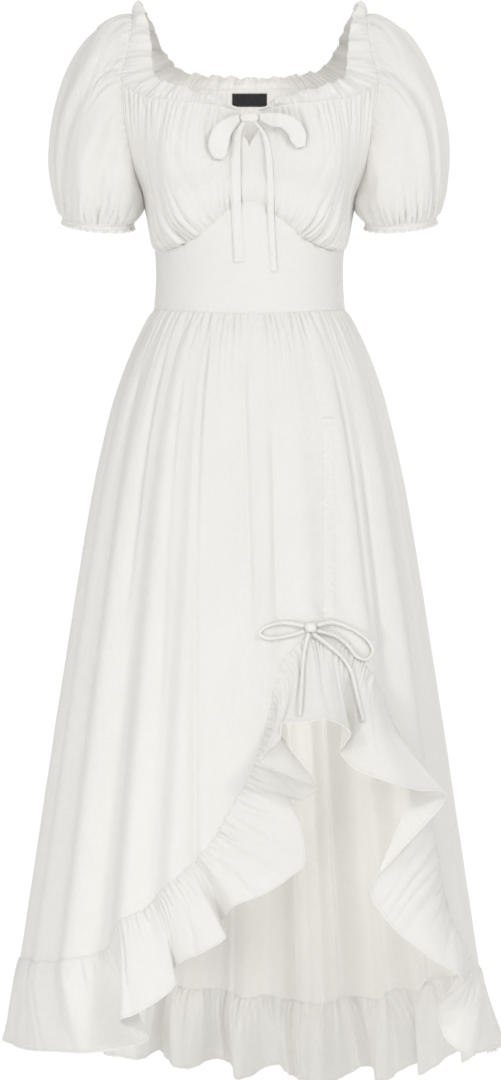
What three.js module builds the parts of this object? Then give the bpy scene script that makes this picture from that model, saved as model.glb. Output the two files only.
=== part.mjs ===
// A white renaissance dress, standing open as it is worn: gathered cups over a peaked midriff panel, puff
// sleeves, a ruffled neckline, and a full skirt whose front hem is drawn up by a cord into a cascade.
// Millimetres, +Z up, the front faces -Y. The origin is midway between the two shoulder tops.
import * as THREE from "three";
import { mergeVertices } from "three/addons/utils/BufferGeometryUtils.js";

// Driving sizes
const cloth = 1.2; // wall thickness of every panel
const seamGap = 0.3; // clear space between two panels at a seam
const waistDrop = 368; // shoulders down to the waist seam at the sides
const underbustDrop = 291; // shoulders down to the underbust seam at the sides
const underarmDrop = 226;
const sideHemDrop = { right: 1176, left: 1191 }; // the wearer's right is seen on the left
const backHemDip = 72; // how much lower the skirt's back seam hangs than its sides
const ruffleWidth = 104;

const degrees = Math.PI / 180;
const mix = (a, b, t) => a + (b - a) * t;
const clamp = (t) => Math.min(1, Math.max(0, t));
const smooth = (t) => clamp(t) ** 2 * (3 - 2 * clamp(t));
const bump = (t) => (Math.abs(t) < 1 ? Math.cos((Math.PI * t) / 2) ** 2 : 0);
const hill = (t) => Math.exp(-t * t);
const vector = (x, y, z) => new THREE.Vector3(x, y, z);
const blend = (a, b, t) => a.clone().lerp(b, t);
const mirrored = (p, side) => vector(p.x * side, p.y, p.z);

// A smooth value from a table: a cubic through the rows, with the column `from` as its input.
function lookUp(rows, from, to, at) {
  const last = rows.length - 1;
  let k = rows.findIndex((row) => row[from] > at) - 1;
  if (k < 0) k = at < rows[0][from] ? 0 : last - 1;
  const slope = (i) => {
    const a = rows[Math.max(0, i - 1)];
    const b = rows[Math.min(last, i + 1)];
    return (b[to] - a[to]) / (b[from] - a[from]);
  };
  const span = rows[k + 1][from] - rows[k][from];
  const t = clamp((at - rows[k][from]) / span);
  const lift = slope(k) * span * t * (1 - t) ** 2 - slope(k + 1) * span * t * t * (1 - t);
  return mix(rows[k][to], rows[k + 1][to], t * t * (3 - 2 * t)) + lift;
}

// A point on the smooth curve through three columns of a table. t runs from 0 to 1 in equal steps a row.
function along(rows, t, columns = ["x", "y", "z"]) {
  const numbered = rows.map((row, step) => ({ step, ...row }));
  const at = clamp(t) * (rows.length - 1);
  return vector(...columns.map((axis) => lookUp(numbered, "step", axis, at)));
}

// A closed cloth wall round a grid of middle points: at(i, j) for i up to columns and j up to rows.
// shape.edge may give the direction of the thickness at a border, and shape.round joins the last column to
// the first.
function wall(name, columns, rows, at, shape = {}) {
  const thick = shape.thick ?? cloth;
  const count = shape.round ? columns : columns + 1;
  const middle = [];
  for (let i = 0; i < count; i++) {
    middle.push([]);
    for (let j = 0; j <= rows; j++) middle[i].push(at(i, j));
  }
  const pick = (i, j) => {
    const column = shape.round ? (i + columns) % columns : Math.min(columns, Math.max(0, i));
    return middle[column][Math.min(rows, Math.max(0, j))];
  };
  const normalAt = (i, j) => {
    const across = pick(i + 1, j).clone().sub(pick(i - 1, j));
    const down = pick(i, j + 1).clone().sub(pick(i, j - 1));
    const normal = across.cross(down).normalize();
    const given = shape.edge?.(i, j, middle[i][j]);
    return given ? given.multiplyScalar(Math.sign(given.dot(normal)) || 1) : normal;
  };
  const position = [];
  for (const side of [0.5, -0.5]) {
    for (let i = 0; i < count; i++) {
      for (let j = 0; j <= rows; j++) {
        position.push(...middle[i][j].clone().addScaledVector(normalAt(i, j), thick * side));
      }
    }
  }
  const layer = count * (rows + 1);
  const index = [];
  const number = (i, j, inner) => (i % count) * (rows + 1) + j + (inner ? layer : 0);
  const quad = (a, b, c, d) => index.push(a, b, c, a, c, d);
  for (let i = 0; i < columns; i++) {
    for (let j = 0; j < rows; j++) {
      quad(number(i, j), number(i + 1, j), number(i + 1, j + 1), number(i, j + 1));
      quad(number(i, j, 1), number(i, j + 1, 1), number(i + 1, j + 1, 1), number(i + 1, j, 1));
    }
    quad(number(i, 0, 1), number(i + 1, 0, 1), number(i + 1, 0), number(i, 0));
    quad(number(i, rows), number(i + 1, rows), number(i + 1, rows, 1), number(i, rows, 1));
  }
  if (!shape.round) {
    for (let j = 0; j < rows; j++) {
      quad(number(0, j), number(0, j + 1), number(0, j + 1, 1), number(0, j, 1));
      quad(number(columns, j, 1), number(columns, j + 1, 1), number(columns, j + 1), number(columns, j));
    }
  }
  return solid(name, position, index, shape.material ?? whiteCloth);
}

// A named mesh from points and triangles, turned so that its faces point out.
function solid(name, position, index, material) {
  const p = (i) => vector(...position.slice(index[i] * 3, index[i] * 3 + 3));
  let volume = 0;
  for (let k = 0; k < index.length; k += 3) volume += p(k).dot(p(k + 1).cross(p(k + 2)));
  if (volume < 0) index.reverse();
  const geometry = new THREE.BufferGeometry();
  geometry.setAttribute("position", new THREE.Float32BufferAttribute(position, 3));
  geometry.setIndex(index);
  geometry.computeVertexNormals();
  const mesh = new THREE.Mesh(geometry, material);
  mesh.name = name;
  dress.add(mesh);
  return mesh;
}

const dress = new THREE.Group();
const whiteCloth = new THREE.MeshStandardMaterial({ color: 0xf0efeb, roughness: 0.85, metalness: 0 });
const labelCloth = new THREE.MeshStandardMaterial({ color: 0x121212, roughness: 0.7, metalness: 0 });

// Lines of the body. The angle is 0 at the front, 90 at the wearer's left and 180 at the back.
function ring(halfWidth, front, back, angle) {
  const c = Math.cos(angle * degrees);
  return vector(halfWidth * Math.sin(angle * degrees), -c * (c > 0 ? front : back), 0);
}

// The peaked seam under the cups, by angle from the front
const underbustSeam = [
  { angle: 0, drop: 240 },
  { angle: 8, drop: 243 },
  { angle: 20, drop: 262 },
  { angle: 32, drop: 281 },
  { angle: 50, drop: 294 },
  { angle: 66, drop: 296 },
  { angle: 90, drop: underbustDrop },
];

function underbustLine(angle) {
  const folded = Math.abs(angle);
  const drop = folded < 90 ? lookUp(underbustSeam, "angle", "drop", folded) : underbustDrop;
  return ring(118, 98, 88, angle).setZ(-drop);
}

function waistLine(angle) {
  const frontDip = 8 * Math.max(0, Math.cos(angle * degrees)) ** 2;
  return ring(119, 92, 84, angle).setZ(-waistDrop - frontDip);
}

// The neckline seam of one side, from the centre front over the shoulder to the centre back, and beside each
// point the free edge of its ruffle
const neckSeam = [
  { x: 11, y: -103, z: -128, edgeX: 12, edgeY: -105, edgeZ: -114 },
  { x: 44, y: -103, z: -121, edgeX: 42, edgeY: -104, edgeZ: -106 },
  { x: 92, y: -94, z: -115, edgeX: 84, edgeY: -92, edgeZ: -96 },
  { x: 130, y: -75, z: -108, edgeX: 106, edgeY: -78, edgeZ: -89 },
  { x: 159, y: -53, z: -88, edgeX: 119, edgeY: -60, edgeZ: -79 },
  { x: 154, y: -38, z: -56, edgeX: 121, edgeY: -44, edgeZ: -54 },
  { x: 147, y: -18, z: -16, edgeX: 125, edgeY: -23, edgeZ: -16 },
  { x: 145, y: 2, z: 0, edgeX: 136, edgeY: 0, edgeZ: 17 },
  { x: 143, y: 22, z: -12, edgeX: 120, edgeY: 24, edgeZ: -10 },
  { x: 135, y: 46, z: -46, edgeX: 108, edgeY: 43, edgeZ: -38 },
  { x: 121, y: 64, z: -73, edgeX: 91, edgeY: 59, edgeZ: -59 },
  { x: 82, y: 80, z: -82, edgeX: 64, edgeY: 72, edgeZ: -66 },
  { x: 42, y: 87, z: -83, edgeX: 33, edgeY: 79, edgeZ: -68 },
  { x: 0, y: 89, z: -83, edgeX: 0, edgeY: 81, edgeZ: -69 },
];
const lastNeckRow = neckSeam.length - 1;
const frontCorner = 4 / lastNeckRow; // where the sleeve begins on the neck seam
const backCorner = 10 / lastNeckRow;

const frontArmhole = [
  { x: 159, y: -53, z: -88 },
  { x: 153, y: -57, z: -145 },
  { x: 144, y: -44, z: -195 },
  { x: 134, y: 0, z: -underarmDrop },
];
const backArmhole = [
  { x: 121, y: 64, z: -73 },
  { x: 129, y: 66, z: -130 },
  { x: 138, y: 46, z: -190 },
  { x: 134, y: 0, z: -underarmDrop },
];

const outward = (p) => vector(p.x, p.y, 0).normalize();

// The side of a bodice panel, from the underbust seam up the side seam and then up the armhole
const sideShare = 1 / 3; // share of the panel's rows that lie on the side seam
function bodiceSide(armhole, v) {
  const low = underbustLine(90);
  const underarm = along(armhole, 1);
  return v < sideShare ? blend(low, underarm, v / sideShare) : along(armhole, (1 - v) / (1 - sideShare));
}

// A smooth panel between four border lines. u runs across from the start line to the end line and v runs up.
function panel(low, high, start, end, u, v) {
  const corners = blend(blend(low(0), low(1), u), blend(high(0), high(1), u), v);
  return blend(low(u), high(u), v).add(blend(start(v), end(v), u)).sub(corners);
}

// Gathered cups
const cupColumns = 32;
const cupRows = 6;
const keyhole = [
  { z: -400, half: 0 },
  { z: -173, half: 0 },
  { z: -150, half: 12 },
  { z: -139, half: 9 },
  { z: -128, half: 11 },
  { z: -100, half: 11 },
];
const keyholeHalf = (z) => Math.max(seamGap / 2, lookUp(keyhole, "z", "half", z));

// u runs from the centre front to the side and v from the underbust seam up.
function cupPoint(u, v, gather) {
  const low = (t) => underbustLine(90 * t);
  const high = (t) => along(neckSeam, t * frontCorner);
  const front = (t) => {
    const p = blend(low(0), high(0), t);
    return p.setX(keyholeHalf(p.z));
  };
  const p = panel(low, high, front, (t) => bodiceSide(frontArmhole, t), u, v);
  const bust = 25 * hill((u - 0.45) / 0.26) * Math.sin(Math.PI * v ** 0.8);
  const pouch = 5 * hill((v - 0.12) / 0.12) * hill((u - 0.4) / 0.4);
  const inner = smooth(u * 14) * smooth((1 - u) * 8);
  const tight = 1.7 * hill((v - 0.1) / 0.16) + 1.2 * hill((v - 0.93) / 0.12);
  p.addScaledVector(outward(p), bust + pouch + gather * tight * inner);
  return u > 0 ? p : p.setX(keyholeHalf(p.z));
}

const sideEdge = (columns) => (i, j, p) => (j === 0 || i === 0 || i === columns ? outward(p) : null);

for (const [name, side] of [
  ["cup_right", -1],
  ["cup_left", 1],
]) {
  const at = (i, j) => {
    const p = cupPoint(i / cupColumns, j / cupRows, Math.cos((i * 2 * Math.PI) / 3));
    if (j === 0) p.z += seamGap / 2;
    if (j === cupRows) p.z -= seamGap / 2;
    if (i === cupColumns) p.y -= seamGap / 2;
    return mirrored(p, side);
  };
  const edge = (i, j, p) => (i === 0 ? vector(0, -1, 0) : sideEdge(cupColumns)(i, j, p));
  wall(name, cupColumns, cupRows, at, { edge });
}

// Plain back bodice, from the left side seam round to the right one
const backColumns = 24;

const backAt = (i, j) => {
  const u = i / backColumns;
  const v = j / cupRows;
  const low = (t) => underbustLine(mix(90, 270, t));
  const high = (t) => {
    const half = t < 0.5 ? t * 2 : (1 - t) * 2;
    return mirrored(along(neckSeam, mix(backCorner, 1, half)), t < 0.5 ? 1 : -1);
  };
  const left = (t) => bodiceSide(backArmhole, t);
  const p = panel(low, high, left, (t) => mirrored(left(t), -1), u, v);
  const shoulderBlades = 10 * Math.sin(Math.PI * v) * Math.sin(Math.PI * u);
  const gather = 1.2 * (i % 2 ? 1 : -1) * hill((v - 0.9) / 0.12) * smooth(Math.min(u, 1 - u) * 8 - 0.5);
  p.addScaledVector(outward(p), shoulderBlades + gather);
  if (i === 0 || i === backColumns) p.y += seamGap / 2;
  if (j === 0) p.z += seamGap / 2;
  if (j === cupRows) p.z -= seamGap / 2;
  return p;
};
wall("bodice_back", backColumns, cupRows, backAt, { edge: sideEdge(backColumns) });

// Midriff panels
function midriff(name, from, to, columns) {
  const rows = 2;
  const at = (i, j) => {
    const angle = mix(from, to, i / columns);
    const v = j / rows;
    const p = blend(waistLine(angle), underbustLine(angle), v);
    p.addScaledVector(outward(p), -2 * Math.sin(Math.PI * v));
    if (j === 0) p.z += seamGap / 2;
    if (j === rows) p.z -= seamGap / 2;
    if (i === 0 || i === columns) p.y += from === -90 ? -seamGap / 2 : seamGap / 2;
    return p;
  };
  wall(name, columns, rows, at, { edge: (i, j, p) => outward(p) });
}
midriff("midriff_front", -90, 90, cupColumns * 2);
midriff("midriff_back", 90, 270, backColumns);

// Sleeves. Each cross line runs from the neck and armhole seam to the cuff as a cubic with two handles.
const sleeveColumns = 32;
const sleeveRows = 7;
const seamLap = 1.1; // a sleeve's edge lies this far outside the bodice's edge
const cuff = { x: 193, y: -3, z: -253, halfWidth: 48, halfDepth: 52, tiltDepth: 12, tiltWidth: 4 };

// The sleeve's top ring by turn: over the shoulder first, then down the back and up the front of the armhole
const sleeveTurns = [
  { turn: 0, out: 0.8, forward: -0.45, up: -0.15, reach: 55, cuffAngle: 325, rise: 62 },
  { turn: 0.12, out: 0.95, forward: -0.25, up: 0.16, reach: 66, cuffAngle: 300, rise: 84 },
  { turn: 0.24, out: 1, forward: 0, up: 0.3, reach: 74, cuffAngle: 270, rise: 90 },
  { turn: 0.36, out: 0.95, forward: 0.25, up: 0.16, reach: 68, cuffAngle: 240, rise: 86 },
  { turn: 0.48, out: 0.85, forward: 0.45, up: -0.15, reach: 60, cuffAngle: 212, rise: 72 },
  { turn: 0.62, out: 0.6, forward: 0.55, up: -0.3, reach: 40, cuffAngle: 160, rise: 44 },
  { turn: 0.74, out: 0.45, forward: 0, up: -0.9, reach: 10, cuffAngle: 90, rise: 12 },
  { turn: 0.87, out: 0.55, forward: -0.6, up: -0.35, reach: 38, cuffAngle: 22, rise: 40 },
  { turn: 1, out: 0.8, forward: -0.45, up: -0.15, reach: 55, cuffAngle: -35, rise: 62 },
];

function sleeveTop(turn) {
  const armhole = turn < 0.74 ? backArmhole : frontArmhole;
  const share = Math.max(0, turn < 0.74 ? (turn - 0.48) / 0.26 : (1 - turn) / 0.26);
  const onNeck = turn <= 0.48;
  const p = onNeck ? along(neckSeam, mix(frontCorner, backCorner, turn / 0.48)) : along(armhole, share);
  p.x += onNeck ? seamLap : mix(seamLap, cloth + seamGap + 0.4, smooth(share * 1.2));
  return p;
}

// The cuff's angle is 270 at its outer side, 90 at the body and 0 at the front.
function cuffPoint(angle, grow = 0) {
  const s = Math.sin(angle * degrees);
  const c = Math.cos(angle * degrees);
  const x = cuff.x - (cuff.halfWidth + grow) * s;
  const y = cuff.y - (cuff.halfDepth + grow) * c;
  return vector(x, y, cuff.z - cuff.tiltDepth * c - cuff.tiltWidth * s);
}

function sleevePoint(turn, v, gather) {
  const at = (column) => lookUp(sleeveTurns, "turn", column, turn);
  const angle = at("cuffAngle");
  const top = sleeveTop(turn);
  const end = cuffPoint(angle);
  const leave = vector(at("out"), at("forward"), at("up")).setLength(at("reach"));
  const spread = cuffPoint(angle, 1).sub(end).setZ(0);
  const enter = end.clone().add(vector(0, 0, at("rise"))).addScaledVector(spread, 0.3 * at("rise"));
  const p = new THREE.CubicBezierCurve3(top, top.clone().add(leave), enter, end).getPoint(v);
  const puffed = Math.sin(Math.PI * v) ** 0.6;
  const folds = 3.2 * puffed * gather * smooth(at("reach") / 40);
  return p.addScaledVector(outward(p.clone().sub(vector(cuff.x, cuff.y, 0))), folds);
}

for (const [name, side] of [
  ["sleeve_right", -1],
  ["sleeve_left", 1],
]) {
  wall(
    name,
    sleeveColumns,
    sleeveRows,
    (i, j) => {
      const gather = Math.cos((i * 2 * Math.PI) / 4 + 0.4);
      const p = sleevePoint(i / sleeveColumns, j / sleeveRows, gather);
      if (j === sleeveRows) p.z += seamGap;
      return mirrored(p, side);
    },
    { round: true },
  );
}

// Elastic cuffs with a short frill
const cuffRows = 1;
for (const [name, side] of [
  ["cuff_right", -1],
  ["cuff_left", 1],
]) {
  wall(
    name,
    sleeveColumns,
    cuffRows,
    (i, j) => {
      const angle = lookUp(sleeveTurns, "turn", "cuffAngle", i / sleeveColumns);
      const frill = j * (i % 2 ? 2.4 : -0.6);
      const p = cuffPoint(angle, frill);
      p.z -= seamGap + j * 9;
      return mirrored(p, side);
    },
    { round: true },
  );
}

// The neck ruffle is one strip, from the right of the keyhole round the back to its left.
const neckColumns = lastNeckRow * 8;
const neckRows = 2;

wall("neck_ruffle", neckColumns, neckRows, (i, j) => {
  const t = i / neckColumns;
  const half = t < 0.5 ? t * 2 : (1 - t) * 2;
  const v = j / neckRows;
  const row = half * lastNeckRow;
  const onSleeve = smooth(row - 3.4) * smooth(10.6 - row);
  const base = along(neckSeam, half);
  base.addScaledVector(outward(base), -0.6 * onSleeve).add(vector(0, 0, seamGap + 0.3 + 1.5 * onSleeve));
  const edge = along(neckSeam, half, ["edgeX", "edgeY", "edgeZ"]);
  const run = along(neckSeam, half + 0.01).sub(along(neckSeam, half - 0.01));
  const off = edge.clone().sub(base).cross(run).normalize();
  const wave = Math.cos((i * 2 * Math.PI) / 3) + 0.25 * Math.sin(i * 0.7);
  const p = blend(base, edge, v).addScaledVector(off, -3 * Math.sin(Math.PI * v) + 2.8 * wave * v);
  return mirrored(p, t < 0.5 ? -1 : 1);
});

// Skirt
const skirtHalfWidth = (drop) => 119 + 47 * (1 - Math.exp(-drop / 95)) + 0.143 * drop;
const skirtFront = (drop) => 92 + 40 * (1 - Math.exp(-drop / 95)) + 0.14 * drop;
const skirtBack = (drop) => 84 + 38 * (1 - Math.exp(-drop / 95)) + 0.155 * drop;

// The largest folds: height at the hem, half width in degrees, and how far up the skirt each one reaches
const skirtFolds = [
  { angle: -84, wide: 9, high: 7, reach: 0.9 },
  { angle: -66, wide: 9, high: 9, reach: 0.8 },
  { angle: -51, wide: 7, high: 11, reach: 0.9 },
  { angle: -41, wide: 5, high: -8, reach: 0.6 },
  { angle: -33, wide: 6, high: 10, reach: 0.8 },
  { angle: -20, wide: 6, high: 8, reach: 1 },
  { angle: -7, wide: 7, high: -7, reach: 0.7 },
  { angle: 5, wide: 6, high: 8, reach: 0.9 },
  { angle: 19, wide: 7, high: 7, reach: 0.9 },
  { angle: 38, wide: 8, high: 9, reach: 0.9 },
  { angle: 49, wide: 5, high: -7, reach: 0.7 },
  { angle: 58, wide: 6, high: 8, reach: 0.9 },
  { angle: 72, wide: 7, high: 8, reach: 0.8 },
  { angle: 86, wide: 7, high: 6, reach: 0.9 },
  { angle: 101, wide: 8, high: 13, reach: 0.8 },
  { angle: 118, wide: 8, high: 16, reach: 0.9 },
  { angle: 134, wide: 7, high: 14, reach: 0.8 },
  { angle: 150, wide: 8, high: 18, reach: 0.9 },
  { angle: 166, wide: 7, high: 15, reach: 0.8 },
  { angle: 181, wide: 8, high: 17, reach: 0.9 },
  { angle: 197, wide: 8, high: 15, reach: 0.8 },
  { angle: 213, wide: 7, high: 17, reach: 0.9 },
  { angle: 229, wide: 8, high: 14, reach: 0.8 },
  { angle: 246, wide: 8, high: 15, reach: 0.9 },
  { angle: 261, wide: 7, high: 9, reach: 0.8 },
];

function skirtPoint(angle, drop, gather) {
  const p = ring(skirtHalfWidth(drop), skirtFront(drop), skirtBack(drop), angle);
  let fold = -3 * smooth(drop / 400);
  for (const { angle: middle, wide, high, reach } of skirtFolds) {
    fold += high * bump((angle - middle) / wide) * clamp(drop / 800) ** (1.6 - reach);
  }
  const gathers = 2.4 * gather * (drop / 16) * Math.exp(1 - drop / 16);
  p.addScaledVector(outward(p), fold + gathers);
  const start = waistLine(angle).z;
  return p.setZ(start - drop);
}

// The front hem, drawn up at the wearer's left: for each turn of its ruffle, the seam's angle and height on
// the skirt, the free edge's place, and how far the ruffle runs on level with the skirt before it hangs.
const cascade = [
  { name: "side seam", angle: -90, seam: -1176, x: -309, y: 0, z: -1280, reach: 30 },
  { name: "flute", angle: -74, seam: -1174, x: -274, y: -96, z: -1281, reach: 30 },
  { name: "flute", angle: -60, seam: -1171, x: -236, y: -152, z: -1277, reach: 30 },
  { name: "flute", angle: -48, seam: -1163, x: -188, y: -190, z: -1274, reach: 30 },
  { name: "behind 1", angle: -42, seam: -1154, x: -133, y: -170, z: -1266, reach: 30 },
  { name: "behind 1", angle: -39, seam: -1143, x: -124, y: -188, z: -1252, reach: 30 },
  { name: "tongue 1", angle: -36, seam: -1126, x: -155, y: -240, z: -1231, reach: 34 },
  { name: "tongue 1", angle: -32.5, seam: -1112, x: -135, y: -248, z: -1221, reach: 34 },
  { name: "tongue 1", angle: -29.5, seam: -1104, x: -107, y: -248, z: -1204, reach: 34 },
  { name: "tip 1", angle: -26.5, seam: -1094, x: -88, y: -240, z: -1186, reach: 34 },
  { name: "behind 2", angle: -24.5, seam: -1085, x: -91, y: -217, z: -1172, reach: 32 },
  { name: "tongue 2", angle: -22.5, seam: -1076, x: -77, y: -230, z: -1158, reach: 34 },
  { name: "tongue 2", angle: -19.5, seam: -1064, x: -52, y: -246, z: -1146, reach: 34 },
  { name: "tip 2", angle: -17, seam: -1052, x: -28, y: -248, z: -1130, reach: 34 },
  { name: "behind 3", angle: -15, seam: -1042, x: -34, y: -214, z: -1116, reach: 30 },
  { name: "tongue 3", angle: -13, seam: -1032, x: -17, y: -238, z: -1093, reach: 36 },
  { name: "tongue 3", angle: -10.5, seam: -1019, x: 15, y: -252, z: -1075, reach: 40 },
  { name: "tongue 3", angle: -8.5, seam: -1004, x: 41, y: -256, z: -1057, reach: 44 },
  { name: "tip 3", angle: -6.5, seam: -989, x: 61, y: -256, z: -1030, reach: 46 },
  { name: "tip 3", angle: -4.5, seam: -974, x: 60, y: -250, z: -999, reach: 44 },
  { name: "behind 4", angle: -2.5, seam: -959, x: 50, y: -230, z: -975, reach: 34 },
  { name: "inner fold", angle: -0.5, seam: -945, x: 50, y: -206, z: -966, reach: 30 },
  { name: "inner fold", angle: 1.2, seam: -930, x: 65, y: -204, z: -968, reach: 36 },
  { name: "flap", angle: 3.2, seam: -906, x: 80, y: -222, z: -953, reach: 60 },
  { name: "flap", angle: 4.6, seam: -884, x: 48, y: -246, z: -937, reach: 40 },
  { name: "flap", angle: 5.8, seam: -864, x: 15, y: -256, z: -919, reach: 18 },
  { name: "drape", angle: 7.2, seam: -843, x: 22, y: -254, z: -906, reach: 14 },
  { name: "drape", angle: 9, seam: -820, x: 36, y: -250, z: -893, reach: 20 },
  { name: "middle", angle: 11.5, seam: -798, x: 40, y: -246, z: -874, reach: 30 },
  { name: "middle", angle: 15.5, seam: -780, x: 61, y: -252, z: -873, reach: 36 },
  { name: "middle", angle: 21, seam: -775, x: 89, y: -250, z: -869, reach: 36 },
  { name: "middle", angle: 26, seam: -777, x: 108, y: -246, z: -875, reach: 36 },
  { name: "middle tip", angle: 30, seam: -783, x: 121, y: -236, z: -886, reach: 34 },
  { name: "behind 5", angle: 32.5, seam: -790, x: 115, y: -212, z: -900, reach: 30 },
  { name: "behind 5", angle: 34.5, seam: -797, x: 110, y: -190, z: -912, reach: 30 },
  { name: "tongue 5", angle: 37, seam: -808, x: 126, y: -210, z: -930, reach: 34 },
  { name: "tongue 5", angle: 40, seam: -822, x: 156, y: -230, z: -942, reach: 34 },
  { name: "tongue 5", angle: 44, seam: -842, x: 199, y: -222, z: -955, reach: 34 },
  { name: "tip 5", angle: 48.5, seam: -868, x: 239, y: -176, z: -966, reach: 34 },
  { name: "diagonal", angle: 53, seam: -916, x: 194, y: -178, z: -1020, reach: 36 },
  { name: "inner tip", angle: 56.5, seam: -972, x: 147, y: -168, z: -1076, reach: 52 },
  { name: "tongue 6", angle: 59.5, seam: -1032, x: 161, y: -158, z: -1110, reach: 50 },
  { name: "tongue 6", angle: 62, seam: -1072, x: 183, y: -154, z: -1135, reach: 46 },
  { name: "tongue 6", angle: 64.5, seam: -1106, x: 223, y: -150, z: -1166, reach: 34 },
  { name: "tip 6", angle: 67.5, seam: -1138, x: 259, y: -140, z: -1190, reach: 24 },
  { name: "turned in", angle: 70, seam: -1156, x: 244, y: -98, z: -1212, reach: 20 },
  { name: "turned in", angle: 72.5, seam: -1169, x: 232, y: -60, z: -1232, reach: 20 },
  { name: "turned in", angle: 76, seam: -1180, x: 237, y: -46, z: -1258, reach: 24 },
  { name: "flute", angle: 80, seam: -1187, x: 252, y: -62, z: -1282, reach: 28 },
  { name: "flute", angle: 85, seam: -1190, x: 280, y: -52, z: -1291, reach: 30 },
  { name: "side seam", angle: 90, seam: -1191, x: 309, y: 0, z: -1288, reach: 30 },
].map((row, step) => ({ step, ...row }));
const lastCascadeRow = cascade.length - 1;
const onCascade = (column, t) => lookUp(cascade, "step", column, clamp(t) * lastCascadeRow);

const skirtFrontColumns = 60;
const skirtFrontRows = 8;

// Column t of the front panel runs from the waist down to the cascade's seam.
function frontHem(t) {
  return { angle: onCascade("angle", t), drop: waistLine(onCascade("angle", t)).z - onCascade("seam", t) };
}

function frontPoint(t, v, gather) {
  const hem = frontHem(t);
  const angle = mix(mix(-90, 90, t), hem.angle, smooth(v * 1.6));
  return skirtPoint(angle, hem.drop * v, gather);
}

const rowShare = (j, rows) => (j / rows) ** 1.5;

// At the waist and at the side seams the skirt's wall is level across, as its neighbour's is.
const skirtEdge = (columns) => (i, j, p) => {
  if (i === 0 || i === columns) return vector(1, 0, 0);
  return j === 0 ? outward(p) : null;
};
const skirtFrontAt = (i, j) => {
  const t = i / skirtFrontColumns;
  const p = frontPoint(t, rowShare(j, skirtFrontRows), Math.cos((i * 2 * Math.PI) / 3));
  if (i === 0 || i === skirtFrontColumns) p.y -= seamGap / 2;
  if (j === 0) p.z -= seamGap / 2;
  return p;
};
wall("skirt_front", skirtFrontColumns, skirtFrontRows, skirtFrontAt, { edge: skirtEdge(skirtFrontColumns) });

const skirtBackColumns = 48;
const skirtBackRows = 7;

function backHemDrop(angle) {
  const side = mix(sideHemDrop.left, sideHemDrop.right, (angle - 90) / 180);
  const across = ((angle - 90) / 180) ** 0.82; // the lowest point lies a little towards the wearer's left
  return side + backHemDip * Math.sin(Math.PI * across) ** 2.4 - waistDrop;
}

const skirtBackAt = (i, j) => {
  const angle = mix(90, 270, i / skirtBackColumns);
  const drop = backHemDrop(angle) * rowShare(j, skirtBackRows);
  const p = skirtPoint(angle, drop, Math.cos((i * 2 * Math.PI) / 3));
  if (i === 0 || i === skirtBackColumns) p.y += seamGap / 2;
  if (j === 0) p.z -= seamGap / 2;
  return p;
};
wall("skirt_back", skirtBackColumns, skirtBackRows, skirtBackAt, { edge: skirtEdge(skirtBackColumns) });

// A ruffle's seam follows the straight lines between the points of the panel's lower edge, just off it. It
// gives the place, the direction square to the seam within the cloth, and the direction out of the cloth.
const ruffleRows = 3;
const backRuffleRows = 2;
function ruffleSeam(at, columns, rows, t) {
  const place = t * columns;
  const i = Math.min(columns - 1, Math.floor(place));
  const low = (k) => at(Math.min(columns, Math.max(0, k)), rows);
  const run = low(Math.ceil(place) + 1).sub(low(Math.floor(place) - 1));
  const p = blend(low(i), low(i + 1), place - i);
  const out = outward(p);
  const off = run.cross(out).normalize();
  if (off.z > 0) off.negate();
  return { p: p.addScaledVector(off, seamGap + 0.6), off, out };
}

const sideNormal = (columns) => (i) => (i % columns ? null : vector(1, 0, 0));

// One cross line of a ruffle, from its seam to its free edge, leaving the seam in line with the panel.
function ruffleLine(seam, edge, v, reach, lift) {
  const leave = seam.p.clone().addScaledVector(seam.off, reach).addScaledVector(seam.out, lift);
  return new THREE.QuadraticBezierCurve3(seam.p, leave, edge).getPoint(v);
}

const frontRuffleColumns = lastCascadeRow * 2.5;
const ruffleFrontAt = (i, j) => {
  const t = i / frontRuffleColumns;
  const v = j / ruffleRows;
  const seam = ruffleSeam(skirtFrontAt, skirtFrontColumns, skirtFrontRows, t);
  const edge = vector(onCascade("x", t), onCascade("y", t), onCascade("z", t));
  const gather = (i % 2 ? 1.2 : -1.2) * Math.sin(Math.PI * v) * (1 - v);
  const p = ruffleLine(seam, edge, v, onCascade("reach", t), 10).addScaledVector(seam.out, gather);
  return i % frontRuffleColumns ? p : p.setY(-seamGap / 2);
};
const frontRuffleShape = { edge: sideNormal(frontRuffleColumns) };
wall("ruffle_front", frontRuffleColumns, ruffleRows, ruffleFrontAt, frontRuffleShape);

const backFlutes = 12;
const backRuffleColumns = skirtBackColumns * 2;
const ruffleBackAt = (i, j) => {
  const t = i / backRuffleColumns;
  const v = j / backRuffleRows;
  const seam = ruffleSeam(skirtBackAt, skirtBackColumns, skirtBackRows, t);
  const ends = smooth(Math.min(t, 1 - t) * 16);
  const flute = Math.cos(t * backFlutes * 2 * Math.PI + 0.8 * Math.sin(t * 23));
  const edge = seam.p.clone().add(vector(0, 0, -ruffleWidth - 8 * flute * ends));
  edge.addScaledVector(seam.out, 26 + 14 * flute * ends);
  const gather = (i % 2 ? 1.2 : -1.2) * Math.sin(Math.PI * v) * (1 - v);
  const p = ruffleLine(seam, edge, v, 34, 6 + 5 * flute * ends).addScaledVector(seam.out, gather);
  return i % backRuffleColumns ? p : p.setY(seamGap / 2);
};
const backRuffleShape = { edge: sideNormal(backRuffleColumns) };
wall("ruffle_back", backRuffleColumns, backRuffleRows, ruffleBackAt, backRuffleShape);

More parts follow.
